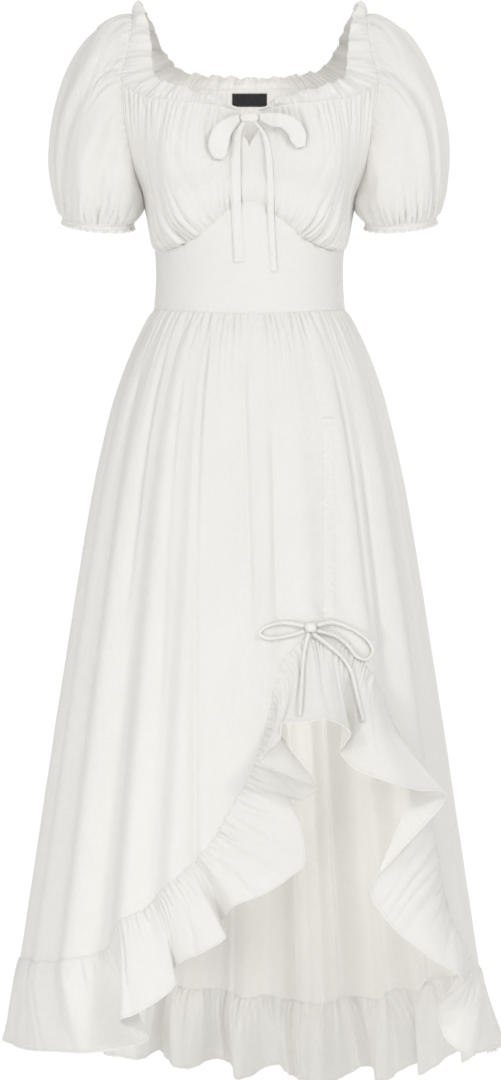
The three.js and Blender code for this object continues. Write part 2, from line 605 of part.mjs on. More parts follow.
// Trims. What lies on a panel is set in front of the panel's own surface, found by a straight sight line.
const sight = new THREE.Raycaster();
const named = (...names) => names.map((name) => dress.getObjectByName(name));
function surfaceY(meshes, x, z, from = -1000) {
  sight.set(vector(x, from, z), vector(0, 1, 0));
  const [hit] = sight.intersectObjects(meshes);
  return hit && hit.point.y * from >= 0 ? hit.point.y : -103;
}

// The drawstring channel, ruched on its string, from below the waist to the drawn-up point
const channel = { x: 97, half: 6.5, top: -505, bottom: -768, rows: 22 };
wall("skirt_channel", 2, channel.rows, (i, j) => {
  const x = channel.x + channel.half * (i - 1);
  const z = mix(channel.top, channel.bottom, j / channel.rows);
  const ruche = j % 2 ? 0.9 : 0;
  return vector(x, surfaceY(named("skirt_front"), x, z) - 1.2 - ruche - (i === 1 ? 0.5 : 0), z);
});

// The foremost place of the cloth round a point, looked for as far as the two steps reach
function foremost(meshes, p, across, down) {
  const places = [];
  for (const k of [-1, 0, 1]) {
    for (const m of [-1, 0, 1]) {
      const q = p.clone().addScaledVector(across, k).addScaledVector(down, m);
      places.push(surfaceY(meshes, q.x, q.z));
    }
  }
  return Math.min(...places);
}

// A flat tie along a table of x, z, distance off the cloth behind it and half width. turn is the way that
// its width runs, in degrees up from level.
function ribbon(name, steps, rows, behind) {
  const numbered = rows.map((row, step) => ({ step, ...row }));
  const last = rows.length - 1;
  const at = (i, j) => {
    const read = (column) => lookUp(numbered, "step", column, (i / steps) * last);
    const turn = read("turn") * degrees;
    const across = vector(Math.cos(turn), 0, Math.sin(turn)).multiplyScalar(read("half"));
    const down = vector(Math.sin(turn), 0, -Math.cos(turn)).multiplyScalar(4);
    const p = vector(read("x"), 0, read("z"));
    p.y = foremost(behind, p, across, down) - read("off");
    return p.addScaledVector(across, j * 2 - 1);
  };
  wall(name, steps, 1, at);
}

// A round cord through the same kind of table
function cord(name, steps, radius, rows, behind) {
  const numbered = rows.map((row, step) => ({ step, ...row }));
  const sides = 6;
  const centre = (i) => {
    const at = (column) => lookUp(numbered, "step", column, clamp(i / steps) * (rows.length - 1));
    const p = vector(at("x"), 0, at("z"));
    return p.setY(foremost(behind, p, vector(radius, 0, 0), vector(0, 0, radius)) - at("off"));
  };
  const position = [];
  const index = [];
  for (let i = 0; i <= steps; i++) {
    const run = centre(i + 1).sub(centre(i - 1)).normalize();
    const side = run.clone().cross(vector(0, -1, 0)).normalize();
    const front = side.clone().cross(run);
    for (let k = 0; k < sides; k++) {
      const turn = (k / sides) * 2 * Math.PI;
      const p = centre(i).addScaledVector(side, radius * Math.cos(turn));
      position.push(...p.addScaledVector(front, radius * Math.sin(turn)));
      if (i < steps) {
        const [a, b] = [i * sides + k, i * sides + ((k + 1) % sides)];
        index.push(a, b, b + sides, a, b + sides, a + sides);
      }
    }
  }
  for (const ring of [0, steps]) {
    const middle = position.length / 3;
    position.push(...centre(ring));
    for (let k = 0; k < sides; k++) {
      const [a, b] = [ring * sides + k, ring * sides + ((k + 1) % sides)];
      index.push(...(ring ? [a, b, middle] : [b, a, middle]));
    }
  }
  solid(name, position, index, whiteCloth);
}

function knot(name, at, size, behind) {
  const ball = new THREE.IcosahedronGeometry(1, 1).deleteAttribute("normal").deleteAttribute("uv");
  const shape = mergeVertices(ball);
  shape.scale(...size).translate(at.x, surfaceY(behind, at.x, at.z) - at.off, at.z);
  shape.computeVertexNormals();
  const mesh = new THREE.Mesh(shape, whiteCloth);
  mesh.name = name;
  dress.add(mesh);
}

// The neck bow
const bodice = named("cup_right", "cup_left", "midriff_front", "neck_ruffle");
knot("neck_knot", { x: 0, z: -137, off: 2.8 }, [12, 5.5, 7], bodice);
const neckLoopRight = [
  { x: -12.5, z: -137.5, off: 4, half: 4, turn: -80 },
  { x: -23, z: -144, off: 11, half: 8, turn: -62 },
  { x: -34, z: -157, off: 12, half: 9, turn: -42 },
  { x: -40, z: -173, off: 10, half: 9, turn: -15 },
  { x: -40, z: -183, off: 5, half: 8.5, turn: -4 },
  { x: -39, z: -173, off: 1.2, half: 8.5, turn: -15 },
  { x: -33, z: -157, off: 1, half: 8.5, turn: -42 },
  { x: -22, z: -145, off: 1, half: 7, turn: -62 },
  { x: -12.7, z: -138.5, off: 1.4, half: 3.5, turn: -80 },
];
const neckLoopLeft = [
  { x: 12.5, z: -136.5, off: 4, half: 4, turn: 90 },
  { x: 27, z: -141, off: 10, half: 8, turn: 84 },
  { x: 42, z: -145, off: 10, half: 9, turn: 70 },
  { x: 54, z: -155, off: 9, half: 9, turn: 40 },
  { x: 62, z: -168, off: 5, half: 8.5, turn: 22 },
  { x: 53, z: -156, off: 1.2, half: 8.5, turn: 40 },
  { x: 41, z: -146, off: 1, half: 8.5, turn: 70 },
  { x: 26, z: -142, off: 1, half: 7, turn: 84 },
  { x: 12.7, z: -137.5, off: 1.4, half: 3.5, turn: 90 },
];
const neckTailRight = [
  { x: -5.5, z: -144.2, off: 3, half: 3, turn: 0 },
  { x: -16, z: -162, off: 2, half: 5.5, turn: 0 },
  { x: -17, z: -205, off: 1.6, half: 6, turn: 0 },
  { x: -16, z: -250, off: 1, half: 6, turn: 0 },
  { x: -14, z: -290, off: 1, half: 6, turn: 0 },
  { x: -13, z: -313, off: 1, half: 6, turn: 0 },
];
const neckTailLeft = [
  { x: 5.5, z: -144.2, off: 3, half: 2.5, turn: 0 },
  { x: 19, z: -165, off: 2, half: 3.5, turn: 0 },
  { x: 25, z: -205, off: 1, half: 4, turn: 0 },
  { x: 26, z: -255, off: 1, half: 4, turn: 0 },
  { x: 28, z: -295, off: 1, half: 4, turn: 0 },
  { x: 30, z: -325, off: 1, half: 4, turn: 0 },
];
ribbon("neck_loop_right", 16, neckLoopRight, bodice);
ribbon("neck_loop_left", 16, neckLoopLeft, bodice);
ribbon("neck_tail_right", 16, neckTailRight, bodice);
ribbon("neck_tail_left", 16, neckTailLeft, bodice);

// The skirt bow, of the cord that draws the skirt up. Its right loop and tail are those right of the knot
// for the wearer.
const drapery = named("skirt_front", "ruffle_front", "skirt_channel");
knot("skirt_knot", { x: 74, z: -761, off: 6.2 }, [7, 5.5, 6.5], drapery);
const skirtLoopRight = [
  { x: 66.6, z: -759, off: 6 },
  { x: 43, z: -755, off: 3.4 },
  { x: 22, z: -759, off: 3 },
  { x: 12, z: -768, off: 3 },
  { x: 24, z: -774, off: 3 },
  { x: 46, z: -771, off: 3.4 },
  { x: 66.6, z: -765, off: 6 },
];
const skirtLoopLeft = [
  { x: 81.5, z: -758.5, off: 6 },
  { x: 101, z: -755, off: 4 },
  { x: 126, z: -764, off: 3 },
  { x: 144, z: -777, off: 3 },
  { x: 150, z: -790, off: 3 },
  { x: 142, z: -800, off: 3.2 },
  { x: 129, z: -795, off: 3.4 },
  { x: 118, z: -781, off: 3.4 },
  { x: 104, z: -771, off: 3.8 },
  { x: 81.5, z: -764.5, off: 6 },
];
const skirtTailRight = [
  { x: 71.5, z: -767.4, off: 6.3 },
  { x: 66, z: -790, off: 3.8 },
  { x: 63, z: -825, off: 3.4 },
  { x: 60, z: -865, off: 3.4 },
];
const skirtTailLeft = [
  { x: 77.2, z: -768.2, off: 6.5 },
  { x: 99, z: -785, off: 3.6 },
  { x: 114, z: -799, off: 3.2 },
  { x: 124, z: -817, off: 3.2 },
  { x: 131, z: -848, off: 3.2 },
  { x: 137, z: -874, off: 3.2 },
];
const cordRadius = 2.5;
cord("skirt_loop_right", 16, cordRadius, skirtLoopRight, drapery);
cord("skirt_loop_left", 22, cordRadius, skirtLoopLeft, drapery);
cord("skirt_tail_right", 8, cordRadius, skirtTailRight, drapery);
cord("skirt_tail_left", 10, cordRadius, skirtTailLeft, drapery);

// The bare label inside the back of the neck
const label = { halfWidth: 22, top: -88, bottom: -104, columns: 4 };
const labelAt = (i, j) => {
  const x = mix(-label.halfWidth, label.halfWidth, i / label.columns);
  const z = mix(label.top, label.bottom, j);
  return vector(x, surfaceY(named("bodice_back"), x, z, 1) - 1.2, z);
};
wall("neck_label", label.columns, 1, labelAt, { material: labelCloth, thick: 0.8 });

export default dress;
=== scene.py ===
import math

import bmesh
import bpy
import numpy as np
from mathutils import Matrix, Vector
from mathutils.bvhtree import BVHTree


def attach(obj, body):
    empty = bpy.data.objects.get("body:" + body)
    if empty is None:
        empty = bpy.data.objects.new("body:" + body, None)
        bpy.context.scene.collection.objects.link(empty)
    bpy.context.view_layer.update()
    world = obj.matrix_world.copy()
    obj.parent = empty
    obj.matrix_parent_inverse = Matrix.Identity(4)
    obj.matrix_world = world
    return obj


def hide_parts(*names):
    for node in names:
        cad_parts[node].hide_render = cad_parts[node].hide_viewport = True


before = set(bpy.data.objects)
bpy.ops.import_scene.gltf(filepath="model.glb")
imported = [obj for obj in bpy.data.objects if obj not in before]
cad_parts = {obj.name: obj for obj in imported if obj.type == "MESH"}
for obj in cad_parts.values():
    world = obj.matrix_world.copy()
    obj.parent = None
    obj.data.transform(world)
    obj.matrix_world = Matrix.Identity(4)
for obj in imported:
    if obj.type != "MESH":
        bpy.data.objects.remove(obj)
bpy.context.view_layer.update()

millimetre = 0.001

# Camera: level, 5.5 m in front, at the height of the picture's middle row
cameraSettings = {"distance": 5.5, "x": 0.00125, "z": -0.655, "seenHeight": 1.35}
cameraData = bpy.data.cameras.new("camera")
camera = bpy.data.objects.new("camera", cameraData)
bpy.context.scene.collection.objects.link(camera)
camera.location = (cameraSettings["x"], -cameraSettings["distance"], cameraSettings["z"])
camera.rotation_euler = (math.radians(90), 0, 0)
cameraData.sensor_fit = "VERTICAL"
cameraData.angle = 2 * math.atan(cameraSettings["seenHeight"] / 2 / cameraSettings["distance"])
cameraData.clip_end = 60
bpy.context.scene.camera = camera
bpy.context.scene.view_settings.view_transform = "Standard"


# Small sums on whole arrays of points, in millimetres
def mix(a, b, t):
    return a + (b - a) * t


def clamp(t):
    return np.clip(t, 0.0, 1.0)


def smooth(t):
    t = clamp(t)
    return t * t * (3 - 2 * t)


def bump(t):
    return np.cos(np.pi * np.clip(t, -1, 1) / 2) ** 2


def hill(t):
    return np.exp(-t * t)


def spot(x, y, z):
    x, y, z = np.broadcast_arrays(x, y, z)
    return np.stack([x, y, z], axis=-1).astype(float)


def unit(p):
    return p / np.maximum(np.linalg.norm(p, axis=-1, keepdims=True), 1e-9)


def outward(p):
    return unit(p * np.array([1.0, 1.0, 0.0]))


def blend(a, b, t):
    return a + (b - a) * np.asarray(t)[..., None]


def push(p, way, far):
    return p + way * np.asarray(far)[..., None]


def mirrored(p, side):
    return p * np.array([side, 1.0, 1.0])


def table(names, rows):
    found = dict(zip(names.split(), np.array(rows, float).T))
    found["step"] = np.arange(len(rows), dtype=float)
    return found


def rowsOf(rows, names):
    return zip(*(rows[name] for name in names.split()))


def lookUp(rows, source, target, at):
    xs, ys = rows[source], rows[target]
    last = len(xs) - 1
    numbers = np.arange(last + 1)
    before, after = np.maximum(numbers - 1, 0), np.minimum(numbers + 1, last)
    slope = (ys[after] - ys[before]) / (xs[after] - xs[before])
    k = np.clip(np.searchsorted(xs, at, side="right") - 1, 0, last - 1)
    span = xs[k + 1] - xs[k]
    t = clamp((at - xs[k]) / span)
    lift = slope[k] * span * t * (1 - t) ** 2 - slope[k + 1] * span * t * t * (1 - t)
    return mix(ys[k], ys[k + 1], t * t * (3 - 2 * t)) + lift


def along(rows, t, names="x y z"):
    at = clamp(t) * (len(rows["step"]) - 1)
    return np.stack([lookUp(rows, "step", name, at) for name in names.split()], axis=-1)


# Seeded unevenness: ripple varies along a line and patch over a sheet, both from -1 to 1
def ripple(at, seed):
    values = np.random.RandomState(seed).uniform(-1, 1, 1024)
    k = np.floor(at).astype(int)
    return mix(values[k % 1024], values[(k + 1) % 1024], smooth(at - k))


def patch(x, y, seed):
    values = np.random.RandomState(seed).uniform(-1, 1, (128, 128))
    i, j = np.floor(x).astype(int), np.floor(y).astype(int)
    tx, ty = smooth(x - i), smooth(y - j)
    i, j, iNext, jNext = i % 128, j % 128, (i + 1) % 128, (j + 1) % 128
    return mix(mix(values[i, j], values[iNext, j], tx), mix(values[i, jNext], values[iNext, jNext], tx), ty)


# Gathers at a seam: s runs along the seam and d away from it. Fine folds with round tops and sharp valleys
# join into wider, longer ones. Each size is a multiple of the pitch, of the reach and of the depth.
gatherSizes = ((1, 0.75, 1.4), (1.9, 0.95, 1.1), (3.6, 1.35, 0.9))


def gathers(s, d, seed, pitch, reach, depth, hold=0.3):
    total = 0
    for k, (wide, far, high) in enumerate(gatherSizes):
        place = s / (pitch * wide)
        drift = 0.5 * ripple(place / 2.3, seed + k * 7)
        drift = drift + 0.22 * patch(place / 1.5, d / (reach * far), seed + k * 7 + 1)
        fold = np.abs(np.sin(np.pi * (place + drift))) ** 0.7 - 0.65
        length = reach * far * (0.85 + 0.6 * ripple(place / 1.3, seed + k * 7 + 2))
        held = mix(hold, 1, smooth(d / (pitch * wide * 0.7)))
        total = total + high * fold * held * np.exp(-((np.maximum(d, 0) / length) ** 1.6))
    return depth * total


# Faint creases of worn cloth
def crumple(x, y, seed, pitch, depth):
    ridged = 1 - np.abs(patch(x / pitch, y / (pitch * 1.7), seed)) ** 0.7
    finer = 1 - np.abs(patch(x / (pitch * 0.45), y / (pitch * 0.7), seed + 1)) ** 0.7
    return depth * (ridged - 0.55 + 0.45 * (finer - 0.55))


def normalsOf(points, closed=False):
    if closed:
        wide = np.concatenate([points[-3:-1], points, points[1:3]], axis=0)
        across = np.gradient(wide, axis=0)[2:-2]
    else:
        across = np.gradient(points, axis=0)
    normal = unit(np.cross(across, np.gradient(points, axis=1)))
    return normal * (1 if np.sum(normal * outward(points)) > 0 else -1)


def distances(points, axis):
    steps = np.linalg.norm(np.diff(points, axis=axis), axis=-1)
    total = np.cumsum(steps, axis=axis)
    pad = [(1, 0) if k == axis else (0, 0) for k in range(total.ndim)]
    return np.pad(total, pad)


# A socket of a shader node, so that maths on sockets reads as plain expressions
class Wire:
    def __init__(self, tree, socket):
        self.tree, self.socket = tree, socket

    def node(self, kind, settings=None, inputs=None, out=0):
        made = self.tree.nodes.new(kind)
        for key, value in (settings or {}).items():
            setattr(made, key, value)
        for key, value in (inputs or {}).items():
            if isinstance(value, Wire):
                self.tree.links.new(value.socket, made.inputs[key])
            else:
                made.inputs[key].default_value = value
        return Wire(self.tree, made.outputs[out])

    def maths(self, operation, *values):
        return self.node("ShaderNodeMath", {"operation": operation}, dict(enumerate(values)))

    def __add__(self, other):
        return self.maths("ADD", self, other)

    def __radd__(self, other):
        return self.maths("ADD", other, self)

    def __sub__(self, other):
        return self.maths("SUBTRACT", self, other)

    def __rsub__(self, other):
        return self.maths("SUBTRACT", other, self)

    def __mul__(self, other):
        return self.maths("MULTIPLY", self, other)

    def __rmul__(self, other):
        return self.maths("MULTIPLY", other, self)

    def __truediv__(self, other):
        return self.maths("DIVIDE", self, other)

    def sine(self):
        return self.maths("SINE", self)

    def size(self):
        return self.maths("ABSOLUTE", self)

    def above(self, edge):
        return self.maths("GREATER_THAN", self, edge)

    # 0 at low and 1 at high, with softened ends
    def fit(self, low, high):
        raised = self.maths("SMOOTH_MAX", (self - low) / (high - low), 0.0, 0.01)
        return self.maths("SMOOTH_MIN", raised, 1.0, 0.01)


clothFinish = {
    "thread": 0.00052,
    "colour": (0.865, 0.85, 0.815),
    "slubColour": (0.81, 0.795, 0.76),
    "roughness": 0.86,
    "sheen": 0.18,
    "stitchPitch": 0.0027,
    "stitchColour": (0.8, 0.79, 0.765),
}
# Pattern scales are per metre of cloth, widths are in metres
weaveSettings = {
    "slubShort": 900.0, "slubLong": 55.0, "crinkleScale": 130.0, "mottleScale": 9.0,
    "threadHigh": 0.06, "slubHigh": 0.35, "crinkleHigh": 1.5, "reliefStrength": 0.8, "reliefDistance": 0.0006,
    "stitchHalf": 0.0005, "stitchHigh": 0.5, "grooveHalf": 0.0016, "grooveDeep": 0.45, "dashShare": -0.45,
    "slubTint": 1.6, "mottleTint": 0.7, "tintStart": 0.35, "roughVary": 0.12,
}


# Plain woven cloth. The piece's UV map is in metres of flat cloth, and stitch rows lie at distances from the
# edge where v is 0.
def wovenCloth(name, stitchRows=(), finish=clothFinish, strength=1.0):
    w = weaveSettings
    material = bpy.data.materials.new(name)
    material.use_nodes = True
    tree = material.node_tree
    shader = tree.nodes["Principled BSDF"]
    start = Wire(tree, None)
    uv = start.node("ShaderNodeTexCoord", out="UV")
    parts = start.node("ShaderNodeSeparateXYZ", inputs={0: uv})
    u, v = parts, Wire(tree, parts.socket.node.outputs[1])
    turns = 2 * math.pi / finish["thread"]
    weave = (u * turns).sine() * (v * turns).sine()
    slubs = []
    for scale in ((w["slubShort"], w["slubLong"], 1.0), (w["slubLong"], w["slubShort"], 1.0)):
        way = start.node("ShaderNodeMapping", inputs={"Vector": uv, "Scale": scale})
        slubs.append(start.node("ShaderNodeTexNoise", inputs={"Vector": way, "Scale": 1.0, "Detail": 1.0}))
    slub = (slubs[0] + slubs[1]) * 0.5
    crinkle = start.node(
        "ShaderNodeTexNoise",
        inputs={"Vector": uv, "Scale": w["crinkleScale"], "Detail": 4.0, "Roughness": 0.62},
    )
    mottle = start.node("ShaderNodeTexNoise", inputs={"Vector": uv, "Scale": w["mottleScale"], "Detail": 2.0})
    height = weave * w["threadHigh"] + slub * w["slubHigh"] + crinkle * w["crinkleHigh"]
    thread = 0.0
    for row in stitchRows:
        near = 1.0 - ((v - row).size() / w["stitchHalf"]).fit(0.6, 1.0)
        dash = (u * (2 * math.pi / finish["stitchPitch"])).sine().above(w["dashShare"])
        groove = 1.0 - ((v - row).size() / w["grooveHalf"]).fit(0.1, 1.0)
        height = height - groove * w["grooveDeep"] + near * dash * w["stitchHigh"]
        thread = near * dash + thread

    def tinted(share, base, tint):
        colours = {0: share.fit(0.0, 1.0), 6: base, 7: (*tint, 1)}
        return start.node("ShaderNodeMix", {"data_type": "RGBA"}, colours, out=2)

    faint = (slub - 0.5) * w["slubTint"] + (mottle - 0.5) * w["mottleTint"] + w["tintStart"]
    colour = tinted(faint, (*finish["colour"], 1), finish["slubColour"])
    if stitchRows:
        colour = tinted(thread, colour, finish["stitchColour"])
    tree.links.new(colour.socket, shader.inputs["Base Color"])
    rough = finish["roughness"] + (crinkle - 0.5) * w["roughVary"]
    tree.links.new(rough.socket, shader.inputs["Roughness"])
    relief = start.node(
        "ShaderNodeBump",
        inputs={
            "Height": height,
            "Strength": w["reliefStrength"] * strength,
            "Distance": w["reliefDistance"],
        },
    )
    tree.links.new(relief.socket, shader.inputs["Normal"])
    shader.inputs["Sheen Weight"].default_value = finish["sheen"]
    shader.inputs["Sheen Roughness"].default_value = 0.6
    shader.inputs["Specular IOR Level"].default_value = 0.25
    material.diffuse_color = (*finish["colour"], 1)
    return material


print("cloth finishes")
bodiceCloth = wovenCloth("bodiceCloth", (0.003,))
midriffCloth = wovenCloth("midriffCloth")
sleeveCloth = wovenCloth("sleeveCloth")
cuffCloth = wovenCloth("cuffCloth", (0.0015, 0.0065))
frillCloth = wovenCloth("frillCloth", (0.0015,))
skirtCloth = wovenCloth("skirtCloth", (0.003,))
ruffleCloth = wovenCloth("ruffleCloth", (0.002, 0.108))
channelCloth = wovenCloth("channelCloth", (0.0015, 0.0115))
tieCloth = wovenCloth("tieCloth", (0.0012,), strength=0.7)


def square(columns, rows):
    return np.meshgrid(np.linspace(0, 1, columns + 1), np.linspace(0, 1, rows + 1), indexing="ij")


# A grid with its points moved to the given places, and a UV map of the flat size
def clothGrid(points, flat, double=None):
    columns, rows = points.shape[0] - 1, points.shape[1] - 1
    build = bmesh.new()
    bmesh.ops.create_grid(build, x_segments=columns, y_segments=rows, size=0.5, calc_uvs=True)
    uvLayer = build.loops.layers.uv.active or build.loops.layers.uv.new("cloth")
    deform = build.verts.layers.deform.verify()
    for face in build.faces:
        for loop in face.loops:
            loop[uvLayer].uv = ((loop.vert.co.x + 0.5) * flat[0], (loop.vert.co.y + 0.5) * flat[1])
    for vert in build.verts:
        i, j = round((vert.co.x + 0.5) * columns), round((vert.co.y + 0.5) * rows)
        vert.co = points[i, j]
        if double is not None:
            vert[deform][0] = 0.5 + 0.5 * double[i, j]
    return build


# A piece of cloth from a function of u and v, which gives its points in millimetres. hem(u, v) is 1 where
# the cloth lies double.
def clothPiece(name, columns, rows, shape, flat, material, thick=0.7, closed=False, hem=None):
    u, v = square(columns, rows)
    build = clothGrid(shape(u, v) * millimetre, flat, hem(u, v) if hem else np.zeros_like(u))
    if closed:
        bmesh.ops.remove_doubles(build, verts=build.verts, dist=1e-6)
    for edge in build.edges:
        edge.smooth = not edge.is_boundary
    build.normal_update()
    facing = 0
    for face in build.faces:
        fromAxis = face.calc_center_median() * Vector((1, 1, 0))
        facing += face.calc_area() * face.normal.dot(fromAxis)
    if facing < 0:
        bmesh.ops.reverse_faces(build, faces=build.faces)
    return finished(name, build, material, thick, weighted=True)


def finished(name, build, material, thick=None, weighted=False):
    mesh = bpy.data.meshes.new(name)
    build.to_mesh(mesh)
    build.free()
    mesh.polygons.foreach_set("use_smooth", [True] * len(mesh.polygons))
    mesh.materials.append(material)
    piece = bpy.data.objects.new(name, mesh)
    bpy.context.scene.collection.objects.link(piece)
    if thick:
        wall = piece.modifiers.new("wall", "SOLIDIFY")
        wall.offset = 0
        wall.thickness = thick * millimetre * (2 if weighted else 1)
        if weighted:
            piece.vertex_groups.new(name="double")
            wall.vertex_group = "double"
    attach(piece, "root")
    return piece


# Lines of the body. The angle is 0 at the front, 90 at the wearer's left and 180 at the back.
# Rings are half width, front depth and back depth.
bodyLines = {
    "waistDrop": 368, "waist": (119, 92, 84), "frontDip": 8, "underbustDrop": 291, "underbust": (118, 98, 88),
}
degrees = math.pi / 180


def ring(halfWidth, front, back, angle):
    c = np.cos(angle * degrees)
    return spot(halfWidth * np.sin(angle * degrees), -c * np.where(c > 0, front, back), 0.0)


underbustSeam = table("angle drop", [
    (0, 240), (8, 243), (20, 262), (32, 281), (50, 294), (66, 296), (90, 291),
])


def setZ(p, z):
    return spot(p[..., 0], p[..., 1], z)


def setX(p, x):
    return spot(x, p[..., 1], p[..., 2])


def underbustLine(angle):
    folded = np.abs(angle)
    peaked = lookUp(underbustSeam, "angle", "drop", np.minimum(folded, 89.99))
    drop = np.where(folded < 90, peaked, bodyLines["underbustDrop"])
    return setZ(ring(*bodyLines["underbust"], angle), -drop)


def waistLine(angle):
    frontDip = bodyLines["frontDip"] * np.maximum(0, np.cos(angle * degrees)) ** 2
    return setZ(ring(*bodyLines["waist"], angle), -bodyLines["waistDrop"] - frontDip)


# The neckline from the keyhole over the shoulder to the middle of the back, and the edge of its ruffle
neckSeam = table("x y z edgeX edgeY edgeZ", [
    (11, -103, -128, 12, -105, -114),
    (44, -103, -121, 42, -104, -106),
    (92, -94, -115, 84, -92, -96),
    (130, -75, -108, 106, -78, -89),
    (159, -53, -88, 119, -60, -79),
    (154, -38, -56, 121, -44, -54),
    (147, -18, -16, 125, -23, -16),
    (145, 2, 0, 136, 0, 17),
    (143, 22, -12, 120, 24, -10),
    (135, 46, -46, 108, 43, -38),
    (121, 64, -73, 91, 59, -59),
    (82, 80, -82, 64, 72, -66),
    (42, 87, -83, 33, 79, -68),
    (0, 89, -83, 0, 81, -69),
])
lastNeckRow = len(neckSeam["step"]) - 1
frontCorner, backCorner = 4 / lastNeckRow, 10 / lastNeckRow
# Each panel's armhole edge, from the neckline down to the underarm
frontArmhole = table("x y z", [(159, -53, -88), (153, -57, -145), (144, -44, -195), (134, 0, -226)])
backArmhole = table("x y z", [(121, 64, -73), (129, 66, -130), (138, 46, -190), (134, 0, -226)])
sideShare = 1 / 3


def bodiceSide(armhole, v):
    low, underarm = underbustLine(np.array(90.0)), along(armhole, np.array(1.0))
    onSeam = blend(low, underarm, clamp(v / sideShare))
    return np.where((v < sideShare)[..., None], onSeam, along(armhole, (1 - v) / (1 - sideShare)))


def panel(low, high, start, end, u, v):
    zero, one = np.zeros_like(u), np.ones_like(u)
    corners = blend(blend(low(zero), low(one), u), blend(high(zero), high(one), u), v)
    return blend(low(u), high(u), v) + blend(start(v), end(v), u) - corners


# The cloth is drawn in slightly along a side seam
def seamDip(away):
    return -0.2 * hill(away / 2.5)


# Rounds off the bend that the side edge sends across a panel
def faired(p, inside, passes=90):
    soft = p.copy()
    for _ in range(passes):
        soft[:, 1:-1] = (soft[:, :-2] + 2 * soft[:, 1:-1] + soft[:, 2:]) / 4
    return blend(p, soft, smooth(inside))


# Gathered cups
cupSettings = {
    "bust": 25, "pouch": 5, "width": 170, "creasePitch": 26, "creaseDepth": 0.5,
    "lowWidth": 172, "lowPitch": 6.4, "lowReach": 54, "lowDepth": 7.4, "lowLean": 0.3,
    "highWidth": 168, "highPitch": 8, "highReach": 66, "highDepth": 2.4,
}
keyhole = table("z half", [(-400, 0), (-173, 0), (-150, 12), (-139, 9), (-128, 11), (-100, 11)])


def keyholeHalf(z):
    return np.maximum(0, lookUp(keyhole, "z", "half", z))


def cupSurface(u, v):
    def high(t):
        return along(neckSeam, t * frontCorner)

    def front(t):
        p = blend(underbustLine(t * 0), high(t * 0), t)
        return setX(p, keyholeHalf(p[..., 2]))

    p = panel(lambda t: underbustLine(90 * t), high, front, lambda t: bodiceSide(frontArmhole, t), u, v)
    p = faired(p, (1 - u) * 6)
    rounded = hill((u - 0.45) / 0.26) + hill((u + 0.45) / 0.26)
    bust = cupSettings["bust"] * rounded * np.sin(np.pi * v**0.8)
    pouch = cupSettings["pouch"] * hill((v - 0.14) / 0.12) * hill((u - 0.4) / 0.4) * smooth(v / 0.08)
    p = push(p, outward(p), bust + pouch)
    return np.where((u > 0)[..., None], p, setX(p, keyholeHalf(p[..., 2])))


def cupShape(side, seed):
    s = cupSettings

    def shape(u, v):
        p = cupSurface(u, v)
        up = distances(p, 1)
        down = up[:, -1:] - up
        ends = smooth(u * 9) * smooth((1 - u) * 26)
        lean = u * s["lowWidth"] - s["lowLean"] * up * smooth(u * 2)
        fine = gathers(lean, up, seed, s["lowPitch"], s["lowReach"], s["lowDepth"], hold=0.55)
        fine = fine * (0.25 + 0.75 * smooth(u * 2.4 - 0.25)) * (1 - 0.45 * hill((u - 0.28) / 0.1))
        fine = fine * (1 - 0.6 * smooth((u - 0.75) / 0.2))
        atNeck = u * s["highWidth"]
        top = gathers(atNeck, down, seed + 40, s["highPitch"], s["highReach"], s["highDepth"], hold=0)
        top = top * smooth(u * 5 - 0.3)
        casing = 0.5 * np.abs(np.sin(atNeck * 1.1 + 2 * ripple(u * 40, seed))) * hill((down - 4) / 4)
        loose = crumple(u * s["width"], up, seed + 80, s["creasePitch"], s["creaseDepth"])
        seam = seamDip((1 - u) * s["width"])
        away = normalsOf(p)
        away = unit(blend(outward(p), away, smooth(up / 8)))
        p = push(p, away, (fine + top + casing + loose) * ends + seam)
        p = np.where((u > 0)[..., None], p, setX(p, keyholeHalf(p[..., 2])))
        return mirrored(p, side)

    return shape


cloths = {}


def replaceCloth(
    node, columns, rows, shape, flat, material,
    held="hung", area=None, restsOn=(), ending="cloth", slot="white_cloth", **more,
):
    piece = clothPiece(f"{node}_{ending}", columns, rows, shape, flat, material, **more)
    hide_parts(node)
    cloths[node] = piece


print("bodice")
for side, name, seed in ((-1, "right", 11), (1, "left", 23)):
    replaceCloth(
        f"cup_{name}", 220, 84, cupShape(side, seed), (0.24, 0.18), bodiceCloth, held="gathered", area=0.04,
    )

backSettings = {
    "width": 330, "ease": 10, "creasePitch": 34, "creaseDepth": 0.7,
    "topWidth": 250, "topPitch": 6.5, "topReach": 48, "topDepth": 1.5,
    "lowWidth": 370, "lowPitch": 9, "lowReach": 30, "lowDepth": 0.6,
}


def backShape(u, v):
    def high(t):
        half = np.where(t < 0.5, t * 2, (1 - t) * 2)
        p = along(neckSeam, mix(backCorner, 1, half))
        return np.where((t < 0.5)[..., None], p, mirrored(p, -1))

    def left(t):
        return bodiceSide(backArmhole, t)

    p = panel(lambda t: underbustLine(mix(90, 270, t)), high, left, lambda t: mirrored(left(t), -1), u, v)
    p = faired(p, np.minimum(u, 1 - u) * 8)
    s = backSettings
    p = push(p, outward(p), s["ease"] * np.sin(np.pi * v) * np.sin(np.pi * u))
    up = distances(p, 1)
    down = up[:, -1:] - up
    ends = smooth(np.minimum(u, 1 - u) * 26)
    top = gathers(u * s["topWidth"], down, 61, s["topPitch"], s["topReach"], s["topDepth"], hold=0)
    low = gathers(u * s["lowWidth"], up, 71, s["lowPitch"], s["lowReach"], s["lowDepth"])
    loose = crumple(u * s["width"], up, 65, s["creasePitch"], s["creaseDepth"])
    seam = seamDip(np.minimum(u, 1 - u) * s["width"])
    return push(p, normalsOf(p), (top + low + loose) * ends + seam)


replaceCloth("bodice_back", 180, 56, backShape, (0.4, 0.21), bodiceCloth, area=0.076)

